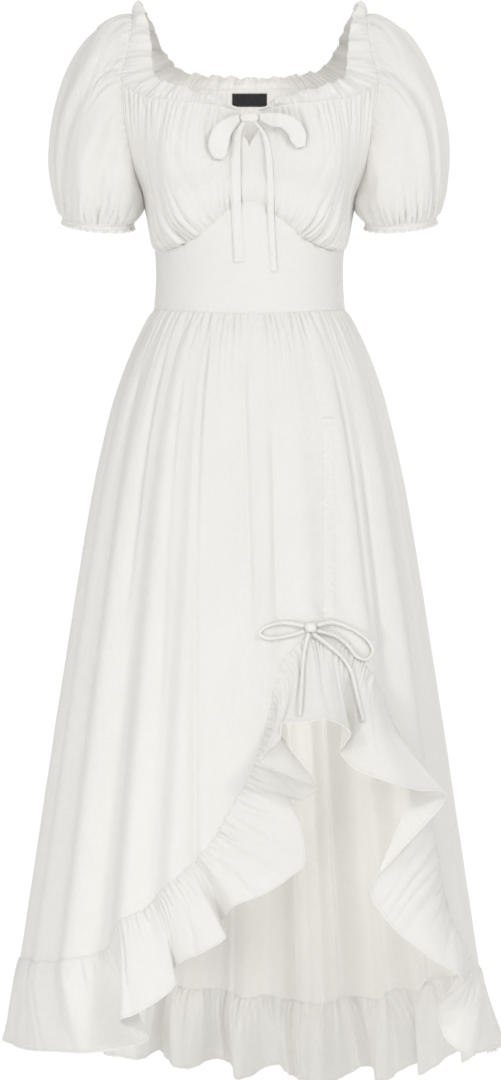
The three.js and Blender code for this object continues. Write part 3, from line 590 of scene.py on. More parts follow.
midriffSettings = {
    "width": 370, "waisted": 2,
    "puckerPitch": 1.9, "puckerDepth": 0.3, "creasePitch": 42, "creaseDepth": 0.55,
}


def midriffShape(start, end, seed):
    s = midriffSettings

    def shape(u, v):
        angle = mix(start, end, u)
        p = blend(waistLine(angle), underbustLine(angle), v)
        p = push(p, outward(p), -s["waisted"] * np.sin(np.pi * v))
        up = distances(p, 1)
        down = up[:, -1:] - up
        pucker = s["puckerDepth"] * np.sin(u * s["width"] / s["puckerPitch"] + 3 * ripple(u * 60, seed))
        pucker = pucker * (hill((up - 2) / 5) + hill((down - 2) / 5))
        pull = crumple(u * 90, up * 2.2, seed, s["creasePitch"], s["creaseDepth"])
        seam = seamDip(np.minimum(u, 1 - u) * s["width"])
        return push(p, outward(p), pucker + pull * smooth(np.minimum(up, down) / 10) + seam)

    return shape


replaceCloth(
    "midriff_front", 190, 24, midriffShape(-90, 90, 31), (0.36, 0.125), midriffCloth,
    held="stretched", area=0.033,
)
replaceCloth(
    "midriff_back", 150, 20, midriffShape(90, 270, 37), (0.36, 0.076), midriffCloth, held="stretched",
)


print("sleeves")
sleeveSettings = {
    "columns": 270, "rows": 70, "tuck": 1.2, "innerBulge": 10, "foldDepth": 6.2,
    "topWidth": 560, "neckPitch": 7.5, "neckReach": 44, "neckDepth": 1.8,
    "armholePitch": 8, "armholeReach": 30, "armholeDepth": 1.3,
    "cuffWidth": 320, "cuffPitch": 6.8, "cuffReach": 40, "cuffDepth": 4.6,
    "width": 520, "creasePitch": 30, "creaseDepth": 0.8,
}
cuffRing = {"x": 189, "y": -3, "z": -253, "halfWidth": 44, "halfDepth": 50, "tiltDepth": 12, "tiltWidth": 4}
# Round the sleeve: which way and how far the cloth leaves its upper seam, the angle of its place on the cuff,
# and how far it rises above the cuff
sleeveTurns = table("turn out forward up reach cuffAngle rise", [
    (0, 0.8, -0.45, -0.15, 55, 325, 62),
    (0.12, 0.95, -0.25, 0.16, 66, 300, 84),
    (0.24, 1, 0, 0.3, 74, 270, 90),
    (0.36, 0.95, 0.25, 0.16, 68, 240, 86),
    (0.48, 0.85, 0.45, -0.15, 60, 212, 72),
    (0.62, 0.6, 0.55, -0.3, 40, 160, 44),
    (0.74, 0.45, 0, -0.9, 10, 90, 12),
    (0.87, 0.55, -0.6, -0.35, 38, 22, 40),
    (1, 0.8, -0.45, -0.15, 55, -35, 62),
])
# Long creases down from the armhole
sleeveCreases = table("turn deep far", [(0.05, 3.5, 0.3), (0.012, 3, 0.34), (0.965, 2.5, 0.3)])


def sleeveTop(turn):
    onBack = turn < 0.74
    share = np.maximum(0, np.where(onBack, (turn - 0.48) / 0.26, (1 - turn) / 0.26))
    armhole = np.where(onBack[..., None], along(backArmhole, share), along(frontArmhole, share))
    onNeck = (turn <= 0.48)
    p = np.where(onNeck[..., None], along(neckSeam, mix(frontCorner, backCorner, turn / 0.48)), armhole)
    return p - spot(sleeveSettings["tuck"] * smooth(share * 4 + onNeck), 0, 0) - outward(p) * 0.8


def cuffPoint(angle, grow=0.0):
    c = cuffRing
    s, k = np.sin(angle * degrees), np.cos(angle * degrees)
    x, y = c["x"] - (c["halfWidth"] + grow) * s, c["y"] - (c["halfDepth"] + grow) * k
    return spot(x, y, c["z"] - c["tiltDepth"] * k - c["tiltWidth"] * s)


def sleeveShape(side, seed):
    s = sleeveSettings

    def shape(turn, v):
        def at(name):
            return lookUp(sleeveTurns, "turn", name, turn)

        angle, reach, rise = at("cuffAngle"), at("reach"), at("rise")
        start, end = sleeveTop(turn), cuffPoint(angle)
        leave = push(start, unit(spot(at("out"), at("forward"), at("up"))), reach)
        spread = (cuffPoint(angle, 1.0) - end) * np.array([1.0, 1.0, 0.0])
        enter = push(end + spot(0, 0, 0.92 * rise), spread, 0.45 * rise)
        w = 1 - v
        weights = [w**3, 3 * w * w * v, 3 * w * v * v, v**3]
        p = sum(part * weight[..., None] for part, weight in zip((start, leave, enter, end), weights))
        p = p - spot(s["innerBulge"] * hill((turn - 0.8) / 0.1) * np.sin(np.pi * v) ** 0.8, 0, 0)
        centre = p - np.array([cuffRing["x"], cuffRing["y"], 0.0])
        full = smooth(reach / 40)
        puffed = np.sin(np.pi * v) ** 0.6
        turning = turn + 0.006 * np.sin(4 * np.pi * v + seed) * puffed
        around = 2 * np.pi * turning
        soft = np.cos(8 * around + 0.4 + 1.2 * np.sin(around + seed)) + 0.5 * np.cos(13 * around + seed)
        folds = s["foldDepth"] * 0.72 * puffed * soft * (0.75 + 0.35 * np.sin(3 * around + seed))
        p = push(p, outward(centre), folds * full)
        run = distances(p, 1)
        left = run[:, -1:] - run
        wrap = np.minimum(turn, 1 - turn)
        fine = gathers(turn * s["cuffWidth"], left, seed, s["cuffPitch"], s["cuffReach"], s["cuffDepth"])
        fine = fine * smooth(wrap * 60)
        onNeck = smooth((0.5 - turn) * 30) * smooth(turn * 30)
        downward = np.clip((0.24 - turn) * 7, -1, 1) * run * smooth(run / 25)
        atTop = turn * s["topWidth"]
        neck = gathers(
            atTop + downward, run, seed + 30, s["neckPitch"], s["neckReach"], s["neckDepth"], hold=0,
        )
        armhole = gathers(atTop, run, seed + 50, s["armholePitch"], s["armholeReach"], s["armholeDepth"])
        top = neck * onNeck + armhole * (1 - onNeck) * smooth(wrap * 40)
        loose = crumple(turn * s["width"], run, seed + 60, s["creasePitch"], s["creaseDepth"])
        loose = loose * smooth(wrap * 30) * puffed
        crease = 0
        for place, deep, far in rowsOf(sleeveCreases, "turn deep far"):
            crease = crease - deep * hill((turning - place) / 0.0055) * bump((v - far * 0.55) / (far * 0.55))
        p = push(p, normalsOf(p, closed=True), (fine + top + loose) * full + crease)
        return mirrored(p, side)

    return shape


for side, name, seed in ((-1, "right", 3), (1, "left", 5)):
    replaceCloth(
        f"sleeve_{name}", sleeveSettings["columns"], sleeveSettings["rows"], sleeveShape(side, seed),
        (0.46, 0.26), sleeveCloth, held="gathered", area=0.09, closed=True,
    )


# Elastic cuffs: a ruched casing and below it a short frill
cuffSettings = {
    "high": 9.6, "clear": 0.3, "casing": 0.45, "rucks": 31, "ruckDepth": 0.5, "waves": 34, "wave": 1.6,
}


def cuffShape(side, seed):
    s = cuffSettings

    def shape(turn, v):
        angle = lookUp(sleeveTurns, "turn", "cuffAngle", turn)
        around = 2 * np.pi * turn
        wave = np.sin(s["waves"] * around + 1.4 * np.sin(5 * around + seed))
        rucks = s["ruckDepth"] * np.abs(np.sin(s["rucks"] * around + 2 * np.sin(3 * around)))
        frill = smooth((v - s["casing"]) / (1 - s["casing"]))
        grow = s["clear"] + rucks * bump((v - 0.25) / 0.3) + (0.7 + s["wave"] * wave) * frill
        return mirrored(cuffPoint(angle, grow) - spot(0, 0, v * s["high"] + 0.5 * wave * frill), side)

    return shape


for side, name, seed in ((-1, "right", 1), (1, "left", 2)):
    replaceCloth(
        f"cuff_{name}", 420, 9, cuffShape(side, seed), (0.34, 0.0102), cuffCloth,
        held="gathered", closed=True,
    )


neckRuffleSettings = {
    "waves": 34.67, "wave": 3.5, "arch": 3, "droop": 5, "cut": 1180, "pitch": 5.6, "reach": 18, "depth": 2.1,
}


# The neck ruffle, from the right of the keyhole round the back to its left
def neckRuffleShape(t, v):
    s = neckRuffleSettings
    half = np.where(t < 0.5, t * 2, (1 - t) * 2)
    row = half * lastNeckRow
    onSleeve = smooth(row - 3.4) * smooth(10.6 - row)
    base = along(neckSeam, half)
    base = push(base, outward(base), 0.4 * onSleeve)
    edge = along(neckSeam, half, "edgeX edgeY edgeZ") - spot(0, 0, s["droop"] * hill((row - 0.9) / 1.1))
    edge = blend(base, edge, 0.2 + 0.8 * smooth((row - 0.22) / 0.42))
    run = along(neckSeam, half + 0.01) - along(neckSeam, half - 0.01)
    off = unit(np.cross(edge - base, run))
    place = t * s["waves"] * 2 * np.pi
    wave = np.cos(place + 1.1 * ripple(t * 30, 91)) + 0.35 * np.cos(2.3 * place + 2 * ripple(t * 22, 92))
    p = push(blend(base, edge, v), off, -s["arch"] * np.sin(np.pi * v) + s["wave"] * wave * v)
    tall = np.linalg.norm(edge - base, axis=-1)
    fine = gathers(t * s["cut"], v * tall, 93, s["pitch"], s["reach"], s["depth"], hold=0)
    uneven = (1.3 * ripple(t * 110, 94) + 0.7 * ripple(t * 260, 95)) * v
    p = push(push(p, off, fine), unit(edge - base), uneven)
    return np.where((t < 0.5)[..., None], mirrored(p, -1), p)


replaceCloth(
    "neck_ruffle", 900, 14, neckRuffleShape, (1.35, 0.026), frillCloth,
    held="gathered", area=0.032, thick=1.0,
)


print("skirt")
# Wide folds: the angle, the half width in degrees, the height, and how far up the fold reaches
skirtFolds = table("angle wide high reach", [
    (-84, 9, 8, 0.9), (-66, 9, 11, 0.8), (-51, 7, 13, 0.9), (-41, 5, -10, 0.6), (-33, 6, 12, 0.8),
    (-20, 6, 10, 1), (-7, 7, -9, 0.7), (5, 6, 10, 0.9), (19, 7, 8, 0.9), (38, 8, 11, 0.9),
    (49, 5, -9, 0.7), (58, 6, 10, 0.9), (72, 7, 9, 0.8), (86, 7, 6, 0.9), (101, 8, 13, 0.8),
    (118, 7, 18, 0.9), (134, 6, 17, 0.8), (150, 7, 21, 0.9), (166, 6, 19, 0.8), (181, 7, 21, 0.9),
    (197, 6, 18, 0.8), (213, 6, 20, 0.9), (229, 7, 17, 0.8), (246, 8, 16, 0.9), (261, 7, 9, 0.8),
])
# Sharper fold lines of the front, and the two ridges of the double seam inside the back: angle at the top and
# the bottom, drop where each begins and ends, width and depth
skirtLines = table("topAngle endAngle begin end wide deep", [
    (-60, -57, 60, 640, 1.5, 4.2),
    (-45, -45, 30, 420, 1.3, 4.4),
    (-21.5, -14, 15, 760, 1.1, 4.6),
    (-3, 4.5, 30, 420, 1.2, 3.8),
    (9, 8.5, 130, 420, 1.3, 3.6),
    (42, 43, 60, 420, 1.3, 4.2),
    (50, 47, 160, 520, 1.2, 3.8),
    (70, 62, 60, 620, 1.4, 4.0),
    (-75, -74, 120, 760, 1.5, 3.6),
    (-32, -26, 60, 520, 1.2, 3.0),
    (160, 160, 100, 1200, 0.7, 2.6),
    (163, 163, 100, 1200, 0.7, 2.6),
])
# Laid folds of the back: each rises sharply at its angle and dies away over its width
laidFolds = table("angle begin wide deep", [
    (108, 240, 7, 9), (126, 160, 8, 13), (142, 200, 9, 17), (156, 120, 7, 15), (168, 260, 9, 18),
    (184.5, 160, 10, 18), (199, 260, 8, 14), (213, 200, 8, 13), (229, 160, 9, 15), (246, 240, 7, 10),
])
channelLine = {"x": 97, "half": 6.5, "top": -505, "bottom": -768, "drawnAt": -752}
# At the sides, the front and the back: how far the hips swell past the waist, and the flare for each
# millimetre of drop
skirtFlare = {"swell": (47, 40, 38), "slope": (0.143, 0.14, 0.155)}
skirtSettings = {
    "swellDrop": 95, "width": 1.87, "pitch": 7.4, "reach": 54, "depth": 2.4,
    "creasePitch": 46, "creaseDepth": 0.55, "softDepth": 1.1, "puckerDepth": 0.8, "drawnDepth": 1.6,
}


def skirtPoint(angle, drop, seed):
    s = skirtSettings
    rise = 1 - np.exp(-drop / s["swellDrop"])
    sizes = zip(bodyLines["waist"], skirtFlare["swell"], skirtFlare["slope"])
    p = ring(*(waist + swell * rise + slope * drop for waist, swell, slope in sizes), angle)
    fold = -3 * smooth(drop / 400)
    for middle, wide, high, reach in rowsOf(skirtFolds, "angle wide high reach"):
        fold = fold + high * bump((angle - middle) / wide) * clamp(drop / 800) ** (1.6 - reach)
    for top, low, begin, end, wide, deep in rowsOf(skirtLines, "topAngle endAngle begin end wide deep"):
        middle = mix(top, low, clamp(drop / 760))
        strength = smooth((drop - begin) / 60) * smooth((end - drop) / 120)
        fold = fold - deep * hill((angle - middle) / wide) * strength
    for middle, begin, wide, deep in rowsOf(laidFolds, "angle begin wide deep"):
        past = angle - middle
        laid = smooth(past / 1.6 + 0.5) * np.exp(-((np.maximum(past, 0) / wide) ** 1.5)) - 0.3
        fold = fold + deep * laid * bump(past / (3 * wide)) * smooth((drop - begin) / 400)
    run = angle * s["width"]
    fine = gathers(run, drop, seed, s["pitch"], s["reach"], s["depth"], hold=0.25)
    soft = s["softDepth"] * patch(angle / 7.5, drop / 330, seed + 3) * smooth(drop / 120)
    loose = crumple(run * (1 + drop / 400), drop, seed + 5, s["creasePitch"], s["creaseDepth"])
    loose = loose * smooth(drop / 40)
    z = waistLine(angle)[..., 2] - drop
    x, inFront = p[..., 0], p[..., 1] < 0
    inChannel = smooth((channelLine["top"] - z) / 60) * smooth((z - channelLine["bottom"] + 14) / 30)
    beside = x - channelLine["x"]
    near = hill((beside + 7) / 15) * inFront
    pucker = s["puckerDepth"] * np.sin(z / 1.05 + 2.2 * patch(x / 14, z / 18, 7)) * near * inChannel
    drawn = s["drawnDepth"] * np.sin(beside / 5 + z / 9) * hill((z - channelLine["drawnAt"]) / 26)
    drawn = drawn * hill(beside / 42) * inFront
    p = push(p, outward(p), fold + fine + soft + loose + pucker + drawn)
    return setZ(p, z)


# The front hem from the wearer's right to the left: the seam's angle and height, the place of the ruffle's
# edge below it, and how far the cloth first runs straight on from the panel
cascade = table("angle seam x y z reach", [
    (-90, -1176, -309, 0, -1280, 30),
    (-74, -1174, -274, -96, -1281, 30),
    (-60, -1171, -236, -152, -1277, 30),
    (-48, -1163, -188, -190, -1274, 30),
    (-42, -1154, -133, -170, -1266, 30),
    (-39, -1143, -124, -188, -1252, 30),
    (-36, -1126, -155, -240, -1231, 34),
    (-32.5, -1112, -135, -248, -1221, 34),
    (-29.5, -1104, -107, -248, -1204, 34),
    (-26.5, -1094, -88, -240, -1186, 34),
    (-24.5, -1085, -91, -217, -1172, 32),
    (-22.5, -1076, -77, -230, -1158, 34),
    (-19.5, -1064, -52, -246, -1146, 34),
    (-17, -1052, -28, -248, -1130, 34),
    (-15, -1042, -34, -214, -1116, 30),
    (-13, -1032, -17, -238, -1093, 36),
    (-10.5, -1019, 18, -250, -1078, 40),
    (-8.5, -1004, 49, -258, -1057, 42),
    (-6.5, -989, 66, -262, -1039, 46),
    (-4.5, -974, 63, -244, -1002, 44),
    (-2.5, -959, 51, -226, -975, 34),
    (-0.5, -945, 50, -206, -966, 30),
    (1.2, -930, 65, -204, -968, 36),
    (3.2, -906, 80, -222, -953, 60),
    (4.6, -884, 48, -246, -937, 40),
    (5.8, -864, 15, -256, -919, 18),
    (7.2, -843, 22, -254, -906, 14),
    (9, -820, 36, -250, -893, 20),
    (11.5, -798, 40, -246, -874, 30),
    (15.5, -780, 61, -252, -873, 36),
    (21, -775, 89, -250, -869, 36),
    (26, -777, 108, -246, -875, 36),
    (30, -783, 121, -236, -886, 34),
    (32.5, -790, 115, -212, -900, 30),
    (34.5, -797, 110, -190, -912, 30),
    (37, -808, 126, -210, -930, 34),
    (40, -822, 156, -230, -942, 34),
    (44, -842, 199, -222, -955, 34),
    (48.5, -868, 239, -176, -966, 34),
    (53, -916, 194, -178, -1020, 36),
    (56.5, -972, 147, -168, -1076, 52),
    (59.5, -1032, 161, -158, -1110, 50),
    (62, -1072, 183, -154, -1135, 46),
    (64.5, -1106, 223, -150, -1166, 34),
    (67.5, -1138, 259, -140, -1190, 24),
    (70, -1156, 244, -98, -1212, 20),
    (72.5, -1169, 232, -60, -1232, 20),
    (76, -1180, 237, -46, -1258, 24),
    (80, -1187, 252, -62, -1282, 28),
    (85, -1190, 280, -52, -1291, 30),
    (90, -1191, 309, 0, -1288, 30),
])
lastCascadeRow = len(cascade["step"]) - 1
hemSizes = {
    "right": 1176, "left": 1191, "backDip": 72, "ruffle": 104,
    "flutes": 11, "flute": 17, "flare": 26, "scallop": 5, "overlap": 11,
}


def onCascade(name, t):
    return lookUp(cascade, "step", name, clamp(t) * lastCascadeRow)


def frontPoint(t, v):
    hemAngle = onCascade("angle", t)
    hemDrop = waistLine(hemAngle)[..., 2] - onCascade("seam", t)
    return skirtPoint(mix(mix(-90, 90, t), hemAngle, smooth(v * 1.6)), hemDrop * v, 200)


def sideSeam(p, t):
    return spot(p[..., 0], np.where((t == 0) | (t == 1), 0, p[..., 1]), p[..., 2])


def skirtFrontShape(t, v):
    return sideSeam(frontPoint(t, v**1.35), t)


# From -1 where the back hem comes forward to 1 where it swings out
def hemFlute(t):
    return np.cos(t * hemSizes["flutes"] * 2 * np.pi + 0.9 * np.sin(t * 23) + 0.6 * np.sin(t * 51))


def backPoint(t, v):
    angle = mix(90, 270, t)
    across = t**0.82
    side = mix(hemSizes["left"], hemSizes["right"], t)
    drop = side + hemSizes["backDip"] * np.sin(np.pi * across) ** 2.4 - bodyLines["waistDrop"]
    drop = drop - hemSizes["scallop"] * hemFlute(t) * v**6 * smooth(np.minimum(t, 1 - t) * 16)
    return skirtPoint(angle, drop * v, 300)


def skirtBackShape(t, v):
    return sideSeam(backPoint(t, v**1.35), t)


replaceCloth("skirt_front", 300, 130, skirtFrontShape, (0.98, 0.83), skirtCloth, held="gathered", area=0.5)
replaceCloth("skirt_back", 240, 96, skirtBackShape, (1.0, 0.92), skirtCloth, held="gathered", area=0.7)


print("ruffles")


# A ruffle's seam along a panel's lower edge: its place, the way down the cloth from it, and the way out
def ruffleSeam(at, t, step):
    p = at(t, np.ones_like(t))
    one = np.ones_like(t)
    run = at(clamp(t + step), one) - at(clamp(t - step), one)
    out = outward(p)
    off = unit(np.cross(run, out))
    off = off * np.where(off[..., 2:] > 0, -1, 1)
    ragged = 1.3 * ripple(t * 160, 77) + 0.7 * ripple(t * 420, 78)
    return push(push(p, off, ragged - 1.5), out, 0.7), off, out


def curveThrough(start, middle, end, v):
    w = 1 - v
    return start * (w * w)[..., None] + middle * (2 * w * v)[..., None] + end * (v * v)[..., None]


frontGathers = {"seed": 401, "pitch": 7.5, "reach": 40, "depth": 2.3}
backGathers = {"seed": 501, "pitch": 8.5, "reach": 54, "depth": 2.8}
sharpFolds = {"pitch": 31, "depth": 3.6, "uneven": 2.8, "fadeStart": 60, "fade": 0.35}


def seamRuffle(p, out, seed, pitch, reach, depth):
    s = distances(p[:, :1], 0)
    d = distances(p, 1)
    fine = gathers(s, d, seed, pitch, reach, depth, hold=0.4)
    puckers = 0.5 * np.sin(s / 0.85 + 2 * ripple(s / 9, seed + 1)) * hill((d - 2) / 3)
    loose = crumple(s, d, seed + 9, 30, 0.9) * smooth(d / 25)
    place = s / sharpFolds["pitch"] + 0.9 * ripple(s / 60, seed + 3) + 0.25 * patch(s / 50, d / 60, seed + 4)
    strong = sharpFolds["depth"] + sharpFolds["uneven"] * ripple(s / 110, seed + 6)
    fades = 1 - sharpFolds["fade"] * smooth((d - sharpFolds["fadeStart"]) / 50)
    sharp = (np.abs(np.sin(np.pi * place)) ** 0.7 - 0.6) * strong * smooth(d / 30) * fades
    return push(p, out, fine + puckers + loose + sharp)


def frontRuffleShape(t, v):
    start, off, out = ruffleSeam(frontPoint, t, 1 / 60)
    edge = spot(onCascade("x", t), onCascade("y", t), onCascade("z", t))
    middle = push(push(start, off, onCascade("reach", t)), out, 10 + 0 * t)
    p = curveThrough(start, middle, edge, v)
    return sideSeam(seamRuffle(p, out, **frontGathers), t)


def backRuffleShape(t, v):
    start, off, out = ruffleSeam(backPoint, t, 1 / 48)
    ends = smooth(np.minimum(t, 1 - t) * 16)
    flute = hemFlute(t) * ends
    overlap = hemSizes["overlap"] * flute
    run = unit(np.cross(out, off))
    run = run * np.sign(np.sum(np.gradient(start, axis=0) * run, axis=-1, keepdims=True))
    edge = start + spot(0, 0, -hemSizes["ruffle"] + 5 * flute)
    edge = push(push(edge, out, hemSizes["flare"] + hemSizes["flute"] * flute), run, -overlap)
    middle = push(push(start, off, 34 + 0 * t), out, 4 + 13 * flute)
    middle = push(middle, run, -0.5 * overlap)
    p = curveThrough(start, middle, edge, v)
    return sideSeam(seamRuffle(p, out, **backGathers), t)


def edgeHem(u, v):
    return smooth((v - 0.93) / 0.03)


replaceCloth(
    "ruffle_front", 780, 40, frontRuffleShape, (1.6, 0.11), ruffleCloth,
    held="gathered", hem=edgeHem, thick=0.75,
)
replaceCloth(
    "ruffle_back", 640, 36, backRuffleShape, (1.35, 0.11), ruffleCloth,
    held="gathered", hem=edgeHem, thick=0.75,
)


print("ties")
graph = bpy.context.evaluated_depsgraph_get()


def sight(nodes):
    return [BVHTree.FromObject(cloths[node], graph) for node in nodes]


# The Y of the first cloth that is met at a point, looking back from the front or from inside. In the keyhole,
# where there is none, it is that of the keyhole's edges.
keyholeFront = -103


def foremost(trees, x, z, origin=-1000):
    best = None
    for tree in trees:
        hit = tree.ray_cast(Vector((x, origin, z)) * millimetre, Vector((0, 1, 0)))[0]
        if hit and (best is None or hit.y / millimetre < best):
            best = hit.y / millimetre
    return keyholeFront if best is None else best


def foremostAll(trees, x, z, origin=-1000):
    return np.array([[foremost(trees, *place, origin) for place in zip(*line)] for line in zip(x, z)])


def restingLine(rows, trees, count, spread):
    t = np.linspace(0, 1, count)
    p = along(rows, t, "x off z")
    near = []
    for x, _, z in p:
        places = [(x + a * spread, z + b * spread) for a in (-1, 0, 1) for b in (-1, 0, 1)]
        near.append(min(foremost(trees, *place) for place in places))
    near = np.array(near)
    for _ in range(3):
        near = np.convolve(np.pad(near, 1, mode="edge"), (0.25, 0.5, 0.25), mode="valid")
    return spot(p[:, 0], near - p[:, 1], p[:, 2])


ribbonSettings = {"rows": 14, "thick": 0.6, "curl": 0.4, "wrinkle": 0.35, "ripple": 0.25}


def ribbon(node, rows, trees, count, flat):
    s = ribbonSettings
    line = restingLine(rows, trees, count + 1, 4)
    t = np.linspace(0, 1, count + 1)
    half = along(rows, t, "half")[:, 0]
    turn = along(rows, t, "turn")[:, 0] * degrees
    across = spot(np.cos(turn), 0, np.sin(turn))

    def shape(u, v):
        i = np.round(u * count).astype(int)
        w = v * 2 - 1
        p = push(line[i], across[i], half[i] * w)
        seed = len(node)
        wrinkle = s["wrinkle"] * patch(u * count / 3, v * 2.5, seed)
        wrinkle = wrinkle + s["ripple"] * np.sin(v * 9 + 3 * ripple(u * 12, seed))
        return p - spot(0, s["curl"] * (1 - w * w) + wrinkle * (1 - w**4), 0)

    replaceCloth(
        node, count, s["rows"], shape, flat, tieCloth,
        held="folded" if "loop" in node else "hung", ending="tie", slot="white_tie", thick=s["thick"],
    )


neckTrees = sight(("cup_right", "cup_left", "midriff_front", "neck_ruffle"))
# The neck tie's stretches: their place, how far they lie off the cloth, half width and twist in degrees
neckLoopRight = table("x z off half turn", [
    (-12.5, -137.5, 4, 4, -80), (-23, -145, 9, 8, -62), (-33, -156, 10, 11.5, -42), (-38, -170, 8, 12.5, -20),
    (-38.5, -181, 6.5, 10.5, -12), (-38.5, -188.5, 3.5, 4.5, -6), (-38, -181, 1, 10.5, -12),
    (-37.5, -171, 0.5, 12, -20), (-32, -157, 0.4, 10.5, -42), (-22, -146, 0.6, 7, -62),
    (-12.5, -138.5, 1.4, 3.5, -80),
])
neckLoopLeft = table("x z off half turn", [
    (12.5, -136.5, 4, 4, 90), (27, -140, 8, 8, 86), (42, -143, 9, 8.5, 72), (54, -151, 8, 10, 46),
    (60, -163, 6.5, 10, 22), (62.5, -174.5, 3.5, 5, 12), (59.5, -163.5, 1, 10, 22),
    (53, -151.5, 0.5, 9.5, 46), (41, -146, 0.4, 8.5, 68), (26, -142, 0.6, 7, 84),
    (12.5, -137.5, 1.4, 3.5, 90),
])
neckTailRight = table("x z off half turn", [
    (-7.5, -142.5, 3, 3, 24), (-16, -160, 1.2, 5.5, 4), (-17, -205, 0.5, 6, 0), (-16, -250, 0.3, 6, 0),
    (-14, -290, 0.3, 6, 0), (-13, -313, 0.4, 6, 0),
])
neckTailLeft = table("x z off half turn", [
    (7.5, -142.5, 3, 2.5, -24), (20, -163, 1.2, 3.5, -6), (25, -205, 0.4, 4, 0), (26, -255, 0.3, 4, 0),
    (28, -295, 0.3, 4, 0), (30, -325, 0.4, 4, 0),
])
ribbon("neck_loop_right", neckLoopRight, neckTrees, 110, (0.115, 0.017))
ribbon("neck_loop_left", neckLoopLeft, neckTrees, 110, (0.125, 0.017))
ribbon("neck_tail_right", neckTailRight, neckTrees, 90, (0.175, 0.012))
ribbon("neck_tail_left", neckTailLeft, neckTrees, 90, (0.185, 0.01))


knotSettings = {"wraps": 0.07, "creases": 0.05, "pinch": 0.16}


# A knot: the tie wrapped over itself, with creases that run across it
def knot(node, place, size, off, trees, lean):
    build = bmesh.new()
    bmesh.ops.create_uvsphere(build, u_segments=56, v_segments=32, radius=1.0, calc_uvs=True)
    y = foremost(trees, place[0], place[1]) - off
    for vert in build.verts:
        x, ball, z = vert.co
        wraps = knotSettings["wraps"] * math.sin(9 * (x + lean * z) + 1.5 * math.sin(3 * z)) * (1 - abs(z))
        creases = knotSettings["creases"] * math.sin(17 * x + 6 * z)
        grown = (1 + wraps + creases) * (1 - knotSettings["pinch"] * math.exp(-((x / 0.3) ** 2)))
        moved = (place[0] + x * size[0], y + ball * size[1] * grown, place[1] + z * size[2] * grown)
        vert.co = Vector(moved) * millimetre
    piece = finished(node + "_tie", build, tieCloth)
    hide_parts(node)


knot("neck_knot", (0, -137), (12, 5.5, 7), 2.8, neckTrees, 0.6)

drapery = sight(("skirt_front", "ruffle_front"))
channelSettings = {"clear": 0.1, "high": 0.1, "ruckHigh": 0.7, "ruckPitch": 2.1, "evenedEnd": 4}


def channelShape(u, v):
    s, end = channelSettings, channelSettings["evenedEnd"]
    x = channelLine["x"] + channelLine["half"] * (u * 2 - 1)
    z = mix(channelLine["top"], channelLine["bottom"], v)
    y = foremostAll(drapery[:1], x, z)
    for _ in range(4):
        y = (np.roll(y, 1, 1) + 2 * y + np.roll(y, -1, 1)) / 4
    y[:, :end] = y[:, end : end + 1]
    y[:, -end:] = y[:, -end - 1 : -end]
    rucks = np.abs(np.sin(z / s["ruckPitch"] + 1.6 * patch(x / 9, z / 12, 12))) ** 0.8
    raised = smooth(np.minimum(u, 1 - u) * 5) * smooth(v * 5)
    return spot(x + 0.5 * ripple(z / 9, 14), y - s["clear"] - (s["high"] + s["ruckHigh"] * rucks) * raised, z)


replaceCloth(
    "skirt_channel", 12, 230, channelShape, (0.013, 0.34), channelCloth, held="gathered", thick=0.4,
    restsOn=("skirt_front_cloth",),
)
drapery = sight(("skirt_front", "ruffle_front", "skirt_channel"))
cordSettings = {"radius": 2.2, "sides": 14, "sunk": 0.6, "twist": 0.07, "uneven": 0.05, "flatWidth": 0.016}


# The narrow round tie of the skirt, as a tube along its line
def cordPiece(node, rows, count):
    s, radius = cordSettings, cordSettings["radius"]
    line = restingLine(rows, drapery, count + 1, radius) + spot(0, s["sunk"], 0)
    run = unit(np.gradient(line, axis=0))
    side = unit(np.cross(run, np.array([0.0, -1.0, 0.0])))
    front = np.cross(side, run)
    u, v = square(count, s["sides"])
    i, turn = np.round(u * count).astype(int), v * 2 * np.pi
    rounded = 1 - 0.5 * np.maximum(hill(u * count / 0.6), hill((1 - u) * count / 0.6))
    twist = s["twist"] * np.sin(2 * turn + u * count / 5)
    uneven = s["uneven"] * ripple(u * count / 2.2, len(rows["x"]))
    swell = radius * (1 + twist + uneven) * rounded
    points = push(push(line[i], side[i], swell * np.cos(turn)), front[i], swell * np.sin(turn))
    length = float(np.sum(np.linalg.norm(np.diff(line, axis=0), axis=1))) * millimetre
    build = clothGrid(points * millimetre, (length, s["flatWidth"]))
    bmesh.ops.remove_doubles(build, verts=build.verts, dist=1e-6)
    bmesh.ops.holes_fill(build, edges=[edge for edge in build.edges if edge.is_boundary], sides=0)
    bmesh.ops.recalc_face_normals(build, faces=build.faces)
    piece = finished(node + "_cord", build, tieCloth)
    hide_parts(node)


skirtLoopRight = table("x z off", [
    (66.6, -759, 6), (43, -755, 3.4), (22, -759, 3), (12, -768, 3), (24, -774, 3), (46, -771, 3.4),
    (66.6, -765, 6),
])
skirtLoopLeft = table("x z off", [
    (81.5, -758.5, 6), (101, -755, 4), (126, -764, 3), (144, -777, 3), (150, -790, 3), (142, -800, 3.2),
    (129, -795, 3.4), (118, -781, 3.4), (104, -771, 3.8), (81.5, -764.5, 6),
])
skirtTailRight = table("x z off", [(71.5, -767.4, 6.3), (66, -790, 3.8), (63, -825, 3.4), (60, -865, 3.4)])
skirtTailLeft = table("x z off", [
    (77.2, -768.2, 6.5), (99, -785, 3.6), (114, -799, 3.2), (124, -817, 3.2), (131, -848, 3.2),
    (137, -874, 3.2),
])
cordPiece("skirt_loop_right", skirtLoopRight, 70)
cordPiece("skirt_loop_left", skirtLoopLeft, 90)
cordPiece("skirt_tail_right", skirtTailRight, 50)
cordPiece("skirt_tail_left", skirtTailLeft, 60)
knot("skirt_knot", (74, -761), (7, 5.5, 6.5), 6.2, drapery, -0.4)


